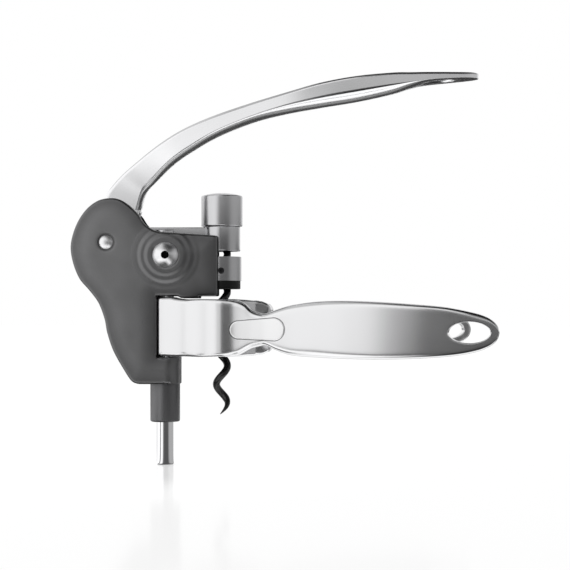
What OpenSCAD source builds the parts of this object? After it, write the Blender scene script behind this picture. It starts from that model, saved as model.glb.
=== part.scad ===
// Horizontal lever corkscrew, at rest as it stands with the worm fully down.
// Frame: origin on the worm's axis at mid height of the neck jaws, +Z up, +X towards the
// handle tips, mirror plane y = 0. "Near" is the -Y side. Millimetres throughout.

/* [Housing] */
// Lever pivot, behind the worm axis
pivot_x = -55; // [-57:0.5:-54]
// Lever pivot, above the jaws' mid height
pivot_z = 41.1; // [40:0.1:43]
// Gap between the lever's root and each side plate
plate_play = 0.6; // [0.5:0.05:1]
// Thickness of each side plate
plate_t = 2.4; // [2:0.1:3.5]
// Front edge of the housing block, behind the worm axis
block_front = -1.7; // [-3.5:0.1:-1]
// Height of the notch that the handle knuckles sit in
notch_h = 29.3; // [29:0.1:30.5]
// Bottom of the notch
notch_z = -13.9; // [-14.5:0.1:-13.6]
// Back wall of the notch
notch_back = -30.7; // [-31:0.1:-30.6]
// Bottom face of the leg
leg_z = -26.8; // [-30:0.2:-25]
// Front of the leg
leg_front = -19.9; // [-20.5:0.1:-19]
// Rounding of the leg's two front corners
leg_round = 7.5; // [3:0.5:8]
// Bevel round the outer rim of each side plate
rim_bevel = 0.6; // [0.2:0.1:1]

/* [Gear drive] */
// Gear module
gear_m = 1.3; // [1.25:0.01:1.32]
// Teeth on a full circle of the lever gear
gear_teeth = 24; // [24]
// Width of the gear's teeth
gear_w = 8; // [5:0.5:8.4]
// Play between the flanks of gear and rack
backlash = 0.14; // [0.08:0.02:0.3]
// Teeth cut on the lever gear
gear_cut = 15; // [15:1:16]
// Teeth cut on the rack
rack_cut = 16; // [15:1:16]
// Radius of the lever's pivot pin
pivot_r = 3; // [2.5:0.1:3.3]
// Radial clearance of every running shaft
run_gap = 0.04; // [0.02:0.01:0.08]

/* [Guide rod] */
// Guide rod, behind the worm axis
rod_x = -27.5; // [-28:0.1:-27.4]
// Radius of the guide rod
rod_r = 4.2; // [3.8:0.1:4.2]
// Lower end of the guide rod, with the worm down
rod_end_z = -66; // [-72:0.5:-60]
// Outer radius of the sleeve under the leg
sleeve_r = 7.2; // [6.4:0.1:7.4]
// Bottom of the sleeve
sleeve_z = -45.3; // [-50:0.5:-40]

/* [Carriage] */
// Top face of the carriage arm
arm_top = 48.6; // [48.2:0.1:50]
// Underside of the carriage arm
arm_bottom = 38; // [38:0.1:38.6]
// Width of the carriage arm
arm_w = 8.8; // [7:0.2:9]
// Radius of the neck that holds the worm's spindle
neck_r = 8.9; // [8.2:0.1:9.2]
// Underside of the neck
neck_z = 37.1; // [36.6:0.1:37.4]
// Radius of the top knob
knob_r = 10; // [9.4:0.1:11]
// Height of the top knob without its crown
knob_h = 14.6; // [12:0.2:18]
// Rise of the knob's crown
knob_crown = 1.5; // [0.8:0.1:3]

/* [Worm] */
// Outer radius of the worm
worm_r = 4.4; // [4:0.1:4.4]
// Thickness of the worm's wire
wire_d = 3.5; // [2.8:0.1:3.6]
// Rise of the worm in one turn
worm_pitch = 18; // [16:0.5:20]
// Tip of the worm when it is down
worm_tip_z = -41.7; // [-46:0.1:-38]

/* [Worm guide] */
// Radius of the guide nut
nut_r = 9.5; // [8.8:0.1:9.5]
// Underside of the guide nut
nut_z = 22.8; // [22.4:0.1:23]
// Height of the guide nut
nut_h = 11.6; // [11:0.1:12]
// Radius of the black stop ring
ring_r = 9; // [8:0.1:9.4]
// Height of the black stop ring
ring_h = 4; // [3:0.1:4.6]

/* [Handles] */
// Handle hinges, behind the worm axis
hinge_x = -26; // [-26.4:0.1:-25.6]
// Handle hinges, each side of the middle
hinge_y = 8.8; // [8.8:0.05:9]
// Radius of the handle knuckles
knuckle_r = 4.4; // [4:0.1:4.4]
// Radius of the hinge pins
hinge_r = 1.5; // [1.2:0.1:1.8]
// How far each handle stands open at rest, in degrees
open_rest = 13; // [8:1:16]
// Radius of the bottle neck that the jaws close on
bottle_r = 14.4; // [13.5:0.1:14.8]
// Thickness of the rubber jaw liners
liner_t = 2.1; // [1.2:0.1:2.4]
// Wall of the jaws outside the liners
jaw_wall = 3.4; // [2.6:0.1:4]
// Top face of the jaws
jaw_top = 13.9; // [13:0.1:14]
// Bottom face of the jaws
jaw_bottom = -13.4; // [-13.5:0.1:-12.6]
// Tip of the closed handles, ahead of the worm axis
handle_tip = 133; // [120:1:150]
// Depth of the inlay's recess in the handle
inlay_t = 1; // [0.6:0.1:1.4]

/* [Lever] */
// Size of the lever's curve against its drawn profile
lever_scale = 1; // [0.9:0.01:1.1]
// Half width of the lever's grip
lever_half = 13.5; // [11:0.5:16]
// Half width of the lever's root between the side plates
root_half = 9.2; // [8.6:0.1:9.2]

/* [Hidden] */
$fn = 64;

eps = 0.01;
fit_gap = 0.02;
plate_in = root_half + plate_play;
plate_out = plate_in + plate_t;
notch_top = notch_z + notch_h;
gear_r = gear_m * gear_teeth / 2;
tooth_step = 360 / gear_teeth;
rack_pitch = PI * gear_m;
pressure = 20;
addendum = 0.65 * gear_m;
dedendum = 0.9 * gear_m;
gear_tip = gear_r + addendum;
gear_root = gear_r - dedendum;
pitch_line = pivot_x + gear_r;
rack_tip_x = pitch_line - addendum;
rack_root_x = pitch_line + dedendum;
rack_back = rack_root_x + 3.8;
rack_half = gear_w / 2;
rack_top = arm_top - 2.3;
rack_end = pivot_z - (rack_cut - 2) * rack_pitch - 3.2;
slot_gap = 0.4;
gear_slot_r = gear_tip + 0.9;
core_front = -12;
core_top = arm_bottom - 0.2;
bush_wall = 1.4;
bush_r = rod_r + run_gap + bush_wall;
collar_r = bush_r + 0.4;
collar_h = 6;
cap = [-26.4, core_top - 2.9];
cap_r = 6.1;
cap_shaft = 2;
boss_steps = [[15.8, 0.5], [12.8, 1.3], [9.6, 2.3]];
boss_face = plate_out + boss_steps[2][1];
pin_head_r = 3.4;
pin_sink_r = 3.9;
pin_sink = 1.2;
washer_r = 7;
washer_play = 0.1;
seat_gap = 0.3;
recess_r = bottle_r + liner_t;
jaw_r = recess_r + jaw_wall;
cup_r = worm_r + 1.2;
cup_gap = 0.1;
cup_top = neck_z + 5;
spindle_r = 3.5;
spindle_bore = cup_r + 0.4;
spindle_bush_r = spindle_bore + 0.3;
shaft_top = arm_top + 3.4;
knob_z = arm_top + 0.6;
insert_bore = worm_r + 0.35;
insert_r = insert_bore + 2;
tongue_half = 4.5;
// Pins that lock the gear sector in the lever, about the pivot
lock_pin_r = 1.5;
lock_pin_arm = 12;
lock_pin_at = [64, 100];
// Taper at the guide rod's foot, and the arm's metal above its head
rod_taper = 1;
rod_cover = 3.6;
// Screws that hold the rack in the carriage arm, short of the guide rod
rack_screw_r = 1.2;
rack_screw_z = [arm_bottom + 2, rack_top - 1.9];
rack_screw_end = rod_x - rod_r - 0.4;
set_screw_r = 1.5;
set_screw_z = nut_z + 4.8;

// Smooth curve through points, n steps to each stretch
function curve_point(a, b, c, d, t) =
    0.5 * (2 * b + (c - a) * t + (2 * a - 5 * b + 4 * c - d) * t * t
        + (3 * b - a - 3 * c + d) * t * t * t);
function curve(p, n) = [
    for (i = [0 : len(p) - 2], k = [0 : n - 1])
        curve_point(p[max(i - 1, 0)], p[i], p[i + 1], p[min(i + 2, len(p) - 1)], k / n),
    p[len(p) - 1]
];
// Value of a size at station x, between [station, size] pairs
function along(table, x) = lookup(x, table);
// Arc of points about c, from angle a0 to a1
function arc(c, r, a0, a1, n) = [
    for (i = [0 : n]) let (a = a0 + (a1 - a0) * i / n) c + r * [cos(a), sin(a)]
];
function unit(v) = v / max(norm(v), 1e-9);
// Outline moved inwards by d, for an outline drawn clockwise
function inset(p, d) = [
    for (i = [0 : len(p) - 1])
        let (
            n = len(p),
            u = unit(p[i] - p[(i + n - 1) % n]),
            v = unit(p[(i + 1) % n] - p[i]),
            a = [u[1], -u[0]],
            b = [v[1], -v[0]],
            m = unit(a + b)
        )
        p[i] + m * d / max(m * a, 0.4)
];
function power(v, e) = sign(v) * pow(abs(v), e);

// Solid with an outline in the x-z plane, between two y planes
module slab(p, y0, y1) {
    translate([0, y1, 0])
        rotate([90, 0, 0])
            linear_extrude(y1 - y0)
                polygon(p);
}
// Round bar along y
module cross(c, r, y0, y1) {
    translate([c[0], y1, c[1]])
        rotate([90, 0, 0])
            cylinder(r = r, h = y1 - y0);
}
// Round bar along z
module post(x, y, r, z0, z1) {
    translate([x, y, z0])
        cylinder(r = r, h = z1 - z0);
}
module block(x0, x1, y0, y1, z0, z1) {
    translate([x0, y0, z0])
        cube([x1 - x0, y1 - y0, z1 - z0]);
}
// Skin over a row of rings, closed by a fan at each end
module loft(rings) {
    n = len(rings[0]);
    m = len(rings);
    function middle(r) = [for (k = [0 : 2]) ([for (p = r) p[k]] * [for (p = r) 1]) / n];
    points = [for (r = rings) each r, middle(rings[0]), middle(rings[m - 1])];
    sides = [
        for (i = [0 : m - 2], j = [0 : n - 1])
            let (a = i * n + j, b = i * n + (j + 1) % n)
            each [[a, b + n, b], [a, a + n, b + n]]
    ];
    ends = [
        for (j = [0 : n - 1])
            each [
                [j, (j + 1) % n, m * n],
                [(m - 1) * n + (j + 1) % n, (m - 1) * n + j, m * n + 1]
            ]
    ];
    polyhedron(points = points, faces = concat(sides, ends), convexity = 6);
}

// Housing
// Kidney outline of a side plate, clockwise from the leg's bottom front corner
lobe = [
    [15.0, -67.7], [12.1, -66.2], [8.3, -60.5], [3.5, -51.9], [0.6, -43.3], [-0.7, -36.6],
    [-3.6, -29.0], [-7.9, -23.1], [-12.6, -17.6], [-15.6, -10.6], [-17.0, -3.0],
    [-16.0, 3.6], [-13.2, 10.5], [-8.9, 16.3], [-3.6, 20.0], [2.1, 21.1], [6.6, 20.4],
    [10.2, 18.2], [14.0, 14.9], [15.9, 12.8], [17.7, 9.9], [19.8, 7.6], [22.4, 6.0]
];
plate_line = concat(
    [[leg_front, leg_z], [pivot_x + 15.9, leg_z]],
    [for (p = curve(lobe, 4)) [pivot_x + p[0], max(pivot_z + p[1], leg_z + 0.05)]],
    [[pivot_x + 25.2, pivot_z + 5]],
    [[block_front - 0.8, pivot_z + 3.2], [block_front, pivot_z + 2.4]],
    [[block_front, notch_top + 0.6], [block_front - 0.6, notch_top]],
    [[-10.5, notch_top], [-10.7, notch_top - 1], [-19, notch_top - 1]],
    [[-21, notch_top], [notch_back, notch_top], [notch_back, notch_z]],
    [[leg_front, notch_z]]
);
// Filling between the plates: the guide block, the spine and the leg
core_line = concat(
    [[leg_front, leg_z], [pivot_x + 15.9, leg_z]],
    [for (p = curve([for (i = [0 : 5]) lobe[i]], 4))
        [pivot_x + p[0] + 0.05, max(pivot_z + p[1], leg_z + 0.05)]],
    [[pivot_x + 0.8, pivot_z - 31.5], [pivot_x + 5.1, pivot_z - 23.7]],
    [[pivot_x + 7.4, pivot_z - 15.1], [pivot_x + 12, pivot_z - 11.1]],
    [[pivot_x + 12, core_top], [core_front, core_top], [core_front, notch_top]],
    [[notch_back, notch_top], [notch_back, notch_z], [leg_front, notch_z]]
);

// One half of the housing on the -Y side, split on the middle plane
module housing_half() {
    difference() {
        union() {
            slab(plate_line, -plate_out + rim_bevel, -plate_in);
            slab(inset(plate_line, rim_bevel * 0.35), -plate_out + rim_bevel * 0.4,
                -plate_out + rim_bevel);
            slab(inset(plate_line, rim_bevel), -plate_out, -plate_out + rim_bevel * 0.4);
            slab(core_line, -plate_in, 0);
            for (s = boss_steps)
                intersection() {
                    cross(cap, s[0], -plate_out - s[1], -plate_in - eps);
                    slab(inset(plate_line, rim_bevel), -plate_out - s[1] - 1, -plate_in);
                }
        }
        // way for the rack behind the rod
        block(rack_tip_x - 0.8, rack_back + 0.3, -rack_half - slot_gap, eps,
            rack_end - 1.5, core_top + 1);
        // way for the rod and its bushes
        post(rod_x, 0, bush_r, notch_top + 1.5, core_top + 1);
        post(rod_x, 0, rod_r + 0.3, notch_z - 8, core_top + 1);
        post(rod_x, 0, bush_r, leg_z + 8, notch_z - 1.5);
        post(rod_x, 0, collar_r + fit_gap, leg_z - 1, leg_z + collar_h);
        // room for the gear
        cross([pivot_x, pivot_z], gear_slot_r, -rack_half - slot_gap, eps);
        // pivot pin and its sunk head
        cross([pivot_x, pivot_z], pivot_r + fit_gap, -plate_out - 1, 0);
        cross([pivot_x, pivot_z], pin_sink_r, -plate_out - 1, -plate_out + pin_sink);
        // cap screw
        cross(cap, cap_shaft + fit_gap, -boss_face - 1, -bush_r - 0.9);
        cross(cap, cap_r + 0.25, -boss_face - 1, -boss_face + 0.8);
        // handle hinge pin
        post(hinge_x, -hinge_y, hinge_r + fit_gap, notch_z - 7, notch_top + 7);
        // seat of the guide nut's tongue
        block(core_front - 4.3, core_front + 1, -tongue_half, eps,
            nut_z + 0.7, nut_z + nut_h - 0.9);
        // rounded front corner of the leg
        difference() {
            block(leg_front - leg_round, leg_front + 1, -plate_out - 1, -plate_out + leg_round,
                leg_z - 1, notch_z);
            post(leg_front - leg_round, -plate_out + leg_round, leg_round, leg_z - 2,
                notch_z + 1);
        }
    }
}
module near_housing() {
    color([0.28, 0.28, 0.29]) housing_half();
}
module far_housing() {
    color([0.28, 0.28, 0.29]) mirror([0, 1, 0]) housing_half();
}
module bush(r0, r1, z0, z1) {
    difference() {
        post(rod_x, 0, r1, z0, z1);
        post(rod_x, 0, r0, z0 - 1, z1 + 1);
    }
}
module upper_guide_bush() {
    color([0.72, 0.55, 0.3]) bush(rod_r + run_gap, bush_r, notch_top + 1.5, core_top);
}
module lower_guide_bush() {
    color([0.72, 0.55, 0.3]) bush(rod_r + run_gap, bush_r, leg_z + 8, notch_z - 1.5);
}
module rod_sleeve() {
    color([0.3, 0.3, 0.31])
        difference() {
            union() {
                post(rod_x, 0, collar_r, leg_z - eps, leg_z + collar_h);
                post(rod_x, 0, sleeve_r, sleeve_z + 0.8, leg_z);
                translate([rod_x, 0, sleeve_z])
                    cylinder(r1 = sleeve_r - 0.8, r2 = sleeve_r, h = 0.8);
            }
            post(rod_x, 0, rod_r + 2 * run_gap, sleeve_z - 1, leg_z + collar_h + 1);
        }
}
// Domed screw head with its round socket, and the shank that holds the boss
module cap_screw() {
    dome = 3.2;
    ball = (cap_r * cap_r + dome * dome) / (2 * dome);
    color([0.85, 0.85, 0.86])
        difference() {
            union() {
                cross(cap, cap_shaft, -boss_face, -bush_r - 1);
                intersection() {
                    cross(cap, cap_r, -boss_face - 4, -boss_face + 0.8);
                    translate([cap[0], -boss_face - 2.4 + ball, cap[1]])
                        sphere(r = ball, $fn = 96);
                }
            }
            cross(cap, 1.85, -boss_face - 4, -boss_face + 0.4);
        }
}
module near_cap_screw() {
    cap_screw();
}
module far_cap_screw() {
    mirror([0, 1, 0]) cap_screw();
}
module lever_pivot_pin() {
    crown = 0.9;
    ball = (pin_head_r * pin_head_r + crown * crown) / (2 * crown);
    face = plate_out - pin_sink;
    color([0.85, 0.85, 0.86]) {
        cross([pivot_x, pivot_z], pivot_r, -face, face);
        for (side = [-1, 1])
            intersection() {
                cross([pivot_x, pivot_z], pin_head_r, side > 0 ? face : -face - 2,
                    side > 0 ? face + 2 : -face);
                translate([pivot_x, side * (face + crown - ball), pivot_z])
                    sphere(r = ball, $fn = 96);
            }
    }
}
module pivot_washers() {
    color([0.6, 0.6, 0.62])
        for (side = [-1, 1])
            difference() {
                cross([pivot_x, pivot_z], washer_r,
                    side > 0 ? root_half + washer_play : washer_play - plate_in,
                    side > 0 ? plate_in - washer_play : -root_half - washer_play);
                cross([pivot_x, pivot_z], pivot_r + fit_gap, -plate_in, plate_in);
            }
}
module hinge_pin(side) {
    color([0.7, 0.7, 0.72])
        post(hinge_x, side * hinge_y, hinge_r, notch_z - 7, notch_top + 7);
}
module near_hinge_pin() {
    hinge_pin(-1);
}
module far_hinge_pin() {
    hinge_pin(1);
}

// Worm guide
module guide_nut() {
    color([0.7, 0.7, 0.71])
        difference() {
            union() {
                post(0, 0, nut_r, nut_z, nut_z + nut_h);
                block(core_front - 4, -nut_r + 3, -tongue_half + 0.05, tongue_half - 0.05,
                    nut_z + 0.8, nut_z + nut_h - 1);
            }
            post(0, 0, insert_r, nut_z - 1, nut_z + nut_h + 1);
            cross([0, set_screw_z], set_screw_r + fit_gap, -nut_r - 1, 0);
        }
}
module nut_insert() {
    color([0.06, 0.06, 0.06])
        difference() {
            post(0, 0, insert_r, nut_z - ring_h + 0.4, nut_z + nut_h - 0.6);
            post(0, 0, insert_bore, nut_z - ring_h - 1, nut_z + nut_h + 1);
        }
}
module stop_ring() {
    color([0.05, 0.05, 0.05])
        difference() {
            post(0, 0, ring_r, nut_z - ring_h, nut_z);
            post(0, 0, insert_r, nut_z - ring_h + 0.4, nut_z + 1);
            post(0, 0, insert_bore + 0.1, nut_z - ring_h - 1, nut_z + 1);
        }
}
module nut_set_screw() {
    color([0.15, 0.15, 0.15])
        difference() {
            cross([0, set_screw_z], set_screw_r, -nut_r + 0.5, -insert_r);
            cross([0, set_screw_z], set_screw_r / 2, -nut_r, -nut_r + 1.6, $fn = 6);
        }
}

// Gear drive
function roll(r) = let (b = gear_r * cos(pressure), t = sqrt(max(r * r / (b * b) - 1, 0)))
    t * 180 / PI - atan(t);
function flank(r) = (PI * gear_m / 2 - backlash) / (2 * gear_r) * 180 / PI
    + roll(gear_r) - roll(r);
tooth_radii = [for (i = [0 : 5]) gear_root - 0.05 + (gear_tip - gear_root + 0.05) * i / 5];
// One gear tooth as a closed outline about the pivot, centred on angle a
function gear_tooth(a) = concat(
    [for (r = tooth_radii) [r * cos(a - flank(r)), r * sin(a - flank(r))]],
    [for (i = [5 : -1 : 0]) let (r = tooth_radii[i])
        [r * cos(a + flank(r)), r * sin(a + flank(r))]]
);
// Round bars across the lever where the lock pins sit
module lock_pins(r, half) {
    for (a = lock_pin_at)
        cross([pivot_x + lock_pin_arm * cos(a), pivot_z + lock_pin_arm * sin(a)], r, -half, half);
}
module gear_sector() {
    half = gear_w / 2;
    color([0.5, 0.5, 0.52])
        difference() {
            union() {
                cross([pivot_x, pivot_z], gear_root, -half, half);
                for (i = [0 : gear_cut - 1])
                    slab([for (p = gear_tooth(tooth_step * (0.5 - i)))
                        [pivot_x + p[0], pivot_z + p[1]]], -half, half);
                slab(concat([[pivot_x, pivot_z]],
                    arc([pivot_x, pivot_z], gear_slot_r - 0.1, 48, 118, 14)), -half, half);
            }
            cross([pivot_x, pivot_z], pivot_r + run_gap, -half - 1, half + 1);
            lock_pins(lock_pin_r + fit_gap, half + 1);
        }
}
module sector_pins() {
    color([0.6, 0.6, 0.62])
        lock_pins(lock_pin_r, root_half - 0.3);
}
// Rack teeth point at the gear; one stands level with the pivot at rest
rack_line = concat(
    [[rack_back, rack_end], [rack_back, rack_top], [rack_root_x, rack_top]],
    [for (k = [1 : -1 : 2 - rack_cut])
        let (
            z = pivot_z + k * rack_pitch,
            lean = tan(pressure),
            tip = rack_pitch / 4 - addendum * lean,
            foot = rack_pitch / 4 + dedendum * lean
        )
        each [
            [rack_root_x, z + foot], [rack_tip_x, z + tip],
            [rack_tip_x, z - tip], [rack_root_x, z - foot]
        ]],
    [[rack_root_x, rack_end]]
);
// Round bars along x where the rack's screws sit
module screw_bars(r, x0, x1) {
    for (z = rack_screw_z)
        translate([x0, 0, z])
            rotate([0, 90, 0])
                cylinder(r = r, h = x1 - x0);
}
module rack_bar() {
    color([0.55, 0.55, 0.57])
        difference() {
            slab([for (p = rack_line) [p[0], min(p[1], rack_top)]], -rack_half, rack_half);
            screw_bars(rack_screw_r + fit_gap, rack_tip_x - 1, rack_back + 1);
        }
}
module rack_screws() {
    color([0.4, 0.4, 0.42])
        screw_bars(rack_screw_r, rack_root_x + 0.4, rack_screw_end);
}

// Carriage
module carriage_arm() {
    color([0.74, 0.74, 0.75])
        difference() {
            union() {
                block(rack_back, 0, -arm_w / 2, arm_w / 2, arm_bottom, arm_top);
                block(rack_root_x, rack_back + 1, -arm_w / 2, arm_w / 2, rack_top, arm_top);
                post(0, 0, neck_r, neck_z, knob_z);
                post(rod_x, 0, rod_r + 2.2, arm_bottom, arm_top - 1.2);
            }
            post(rod_x, 0, rod_r + fit_gap, arm_bottom - 1, arm_top - rod_cover);
            post(0, 0, spindle_bore, neck_z - 1, cup_top + 0.6);
            post(0, 0, spindle_bush_r + fit_gap, cup_top + 0.6, knob_z + 1);
            screw_bars(rack_screw_r + fit_gap, rack_back - 1, rack_screw_end + fit_gap);
        }
}
module guide_rod() {
    color([0.86, 0.86, 0.88])
        union() {
            post(rod_x, 0, rod_r, rod_end_z + rod_taper, arm_top - rod_cover);
            translate([rod_x, 0, rod_end_z])
                cylinder(r1 = rod_r - 0.9 * rod_taper, r2 = rod_r, h = rod_taper);
        }
}
module spindle_bush() {
    color([0.72, 0.55, 0.3])
        difference() {
            post(0, 0, spindle_bush_r, cup_top + 0.6, knob_z);
            post(0, 0, spindle_r + run_gap, cup_top, knob_z + 1);
        }
}
module top_knob() {
    crown_r = (knob_r * knob_r + knob_crown * knob_crown) / (2 * knob_crown);
    crown_z = knob_z + knob_h + knob_crown - crown_r;
    rim = knob_r - 0.4;
    inner = knob_r - 2.6;
    color([0.62, 0.62, 0.63])
        difference() {
            rotate_extrude()
                polygon(concat(
                    [[0, knob_z], [knob_r - 0.3, knob_z], [knob_r, knob_z + 0.3],
                    [knob_r, knob_z + knob_h - 0.3]],
                    [for (i = [0 : 8]) let (x = rim * (1 - i / 8))
                        [x, crown_z + sqrt(crown_r * crown_r - x * x)]]
                ));
            post(0, 0, inner, knob_z - 1, knob_z + 8);
        }
}

// Worm and spindle
module worm_spindle() {
    color([0.6, 0.6, 0.62])
        difference() {
            union() {
                post(0, 0, cup_r, neck_z + 0.3, cup_top);
                post(0, 0, spindle_r, cup_top - 1, shaft_top);
            }
            post(0, 0, worm_r + cup_gap, neck_z - 1, cup_top - 1.2);
        }
}
module spindle_ring() {
    color([0.35, 0.35, 0.36])
        difference() {
            post(0, 0, spindle_r + 2, knob_z + 0.2, knob_z + 1.4);
            post(0, 0, spindle_r, knob_z, knob_z + 2);
        }
}
helix_r = worm_r - wire_d / 2;
worm_top_z = cup_top - 1.4 - wire_d / 2;
worm_sides = 8;
worm_steps = 14;
worm_rings = ceil((worm_top_z - worm_tip_z) / worm_pitch * worm_steps);
point_turns = 0.42;
worm_phase = -18.4;
// Middle of the wire at height z
function wire_at(z) = let (a = 360 * (z - worm_phase) / worm_pitch)
    [helix_r * cos(a), helix_r * sin(a), z];
// Radius of the wire, ground to a point over its last stretch
function wire_radius(z) =
    wire_d / 2 * min(1, 0.1 + 0.9 * pow(min(1, (z - worm_tip_z) / (point_turns * worm_pitch)), 0.8));
function wire_ring(z) =
    let (
        c = wire_at(z),
        t = unit(wire_at(z + 0.1) - wire_at(z - 0.1)),
        out = unit([c[0], c[1], 0]),
        up = cross3(t, out),
        r = wire_radius(z)
    )
    [for (j = [0 : worm_sides - 1]) let (a = 360 * j / worm_sides)
        c + r * (cos(a) * out + sin(a) * up)];
function cross3(a, b) = [
    a[1] * b[2] - a[2] * b[1], a[2] * b[0] - a[0] * b[2], a[0] * b[1] - a[1] * b[0]
];
worm_heights = [for (i = [0 : worm_rings]) worm_tip_z + (worm_top_z - worm_tip_z) * i / worm_rings];
module worm() {
    gap = min([for (i = [0 : worm_rings], j = [0 : worm_rings])
        if (worm_heights[j] - worm_heights[i] > worm_pitch * 0.7)
            norm(wire_at(worm_heights[j]) - wire_at(worm_heights[i])) - wire_d]);
    echo(worm_gap_to_itself = gap);
    color([0.05, 0.05, 0.05])
        loft([for (z = worm_heights) wire_ring(z)]);
}

// Lever
// Upper and lower edge of the lever's side view, from the pivot, its half width there, and
// the share of its depth that the rounded belly takes below the flat flanks
lever_rows = [
    [[-4.6, 13.0], [13.6, 10.6], root_half, 0.1],
    [[0.0, 23.9], [16.4, 17.4], root_half, 0.1],
    [[6.0, 31.2], [18.7, 24.9], root_half, 0.12],
    [[13.3, 37.7], [23.1, 30.0], lever_half - 3.4, 0.12],
    [[24.8, 46.7], [31.5, 38.4], lever_half - 2, 0.13],
    [[36.3, 53.9], [41.0, 45.1], lever_half - 1.4, 0.14],
    [[50.6, 60.2], [53.8, 52.4], lever_half - 1.0, 0.16],
    [[67.9, 66.1], [70.5, 59.0], lever_half - 0.8, 0.2],
    [[85.1, 71.2], [86.5, 62.9], lever_half - 0.4, 0.32],
    [[102.3, 76.0], [103.5, 65.9], lever_half, 0.37],
    [[119.5, 79.2], [120.8, 68.7], lever_half, 0.39],
    [[136.7, 81.0], [137.6, 72.4], lever_half - 1, 0.36],
    [[146.0, 81.3], [146.5, 75.3], lever_half - 1.8, 0.24],
    [[154.9, 81.6], [155.0, 77.7], lever_half - 2.8, 0.06],
    [[168.0, 81.9], [168.0, 78.9], lever_half - 5, 0.04],
    [[174.5, 82.1], [174.5, 79.3], lever_half - 7, 0.04],
    [[177.8, 82.2], [177.8, 79.4], lever_half - 9.6, 0.04],
    [[178.9, 82.2], [178.9, 79.4], lever_half - 11.7, 0.04],
    [[179.3, 82.1], [179.3, 79.5], 0.8, 0.04]
];
lever_top = curve([for (r = lever_rows) r[0] * lever_scale], 2);
lever_under = curve([for (r = lever_rows) r[1] * lever_scale], 2);
lever_wide = curve([for (r = lever_rows) [r[2], r[3]]], 2);
lever_hole = [159.5, 8.2, 4.1];
lever_edge = 0.9;
ear_r = 11;
// Half a section as [across, share of the depth]: the belly, the flank and its upper edge
function lever_side(w, share, deep) = let (e = min(lever_edge, w * 0.4)) concat(
    [for (a = [0 : 18 : 90]) [w * sin(a), share * (1 - cos(a))]],
    [[w, 1 - 1.5 * e / deep], [w - 0.3 * e, 1 - 0.4 * e / deep], [w - e, 1], [0, 1]]
);
function lever_ring(t, b, w) = let (side = lever_side(w[0], w[1], norm(t - b)), n = len(side))
    [for (p = concat(side, [for (i = [n - 2 : -1 : 1]) [-side[i][0], side[i][1]]]))
        let (q = b + (t - b) * p[1])
        [pivot_x + q[0], p[0], pivot_z + q[1]]];
module lever_arm() {
    heel = [pivot_x, pivot_z];
    color([0.8, 0.8, 0.81])
        difference() {
            union() {
                loft([for (i = [0 : len(lever_top) - 1])
                    lever_ring(lever_top[i], lever_under[i], lever_wide[i])]);
                translate([0, root_half, 0])
                    rotate([90, 0, 0])
                        linear_extrude(2 * root_half)
                            hull() {
                                translate(heel) circle(r = ear_r);
                                polygon([heel + [-3.4, 15.4], heel + [-1.4, 18.4],
                                    heel + [14.8, 12.6], heel + [13.6, 10.6]]);
                            }
            }
            cross(heel, gear_slot_r, -rack_half - slot_gap, rack_half + slot_gap);
            cross(heel, pivot_r + run_gap, -root_half - 1, root_half + 1);
            lock_pins(lock_pin_r + fit_gap, root_half + 1);
            translate([pivot_x + lever_hole[0] * lever_scale, 0, pivot_z + 60])
                linear_extrude(40)
                    polygon([for (i = [0 : 31]) let (a = 360 * i / 32)
                        [lever_hole[1] * cos(a), lever_hole[2] * sin(a)]]);
        }
}

// Handles, drawn closed on the -Y side and then swung open about the hinge
grip_rows = [
    // station, outer face, thickness, top, bottom
    [3, -18.2, 1.4, 11.6, -11.4],
    [8, -18.7, 5.4, 12.7, -12.2],
    [12, -18.0, 6.6, 12.2, -11.7],
    [15, -17.2, 7.2, 10.8, -10.6],
    [18, -16.8, 7.4, 8.8, -9.2],
    [22, -16.8, 7.4, 7.4, -8.2],
    [26, -17.3, 7.2, 7.4, -8.2],
    [31, -18.1, 7.0, 9.4, -9.9],
    [38, -19.3, 7.2, 11.2, -11.8],
    [50, -21.0, 7.8, 12.7, -12.9],
    [64, -23.0, 8.2, 13.0, -13.4],
    [80, -24.3, 8.2, 12.4, -13.5],
    [96, -24.4, 7.4, 11.3, -12.8],
    [108, -23.6, 6.4, 10.2, -12.1],
    [117, -22.5, 5.6, 8.9, -11.2],
    [124, -21.3, 4.9, 7.2, -9.8],
    [129, -20.4, 4.3, 5.1, -7.8],
    [132, -19.8, 3.8, 1.2, -4.2],
    [133, -19.5, 3.4, -0.9, -2.3]
];
grip_end = grip_rows[len(grip_rows) - 1][0];
// Stations past the jaws stretch with the handle's length
function grip_x(s) = s < 26 ? s : 26 + (s - 26) * (handle_tip - 26) / (grip_end - 26);
grip = curve(grip_rows, 2);
function grip_ring(r) = let (
        mid_y = r[1] + r[2] / 2,
        mid_z = (r[3] + r[4]) / 2,
        deep = r[2] / 2,
        tall = (r[3] - r[4]) / 2
    )
    [for (j = [0 : 19]) let (a = 18 * j)
        [grip_x(r[0]), mid_y + deep * power(cos(a), 0.75), mid_z + tall * power(sin(a), 0.7)]];
tip_hole = [grip_x(120.5), 10, 5.4, -1.4];
inlay_span = [9.5, 34.4];
// Radius and height of the inlay's two round ends
inlay_ends = [[4.0, -0.6], [5.2, -0.3]];
function face_y(x) = lookup(x, [for (r = grip) [grip_x(r[0]), r[1]]]);
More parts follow.
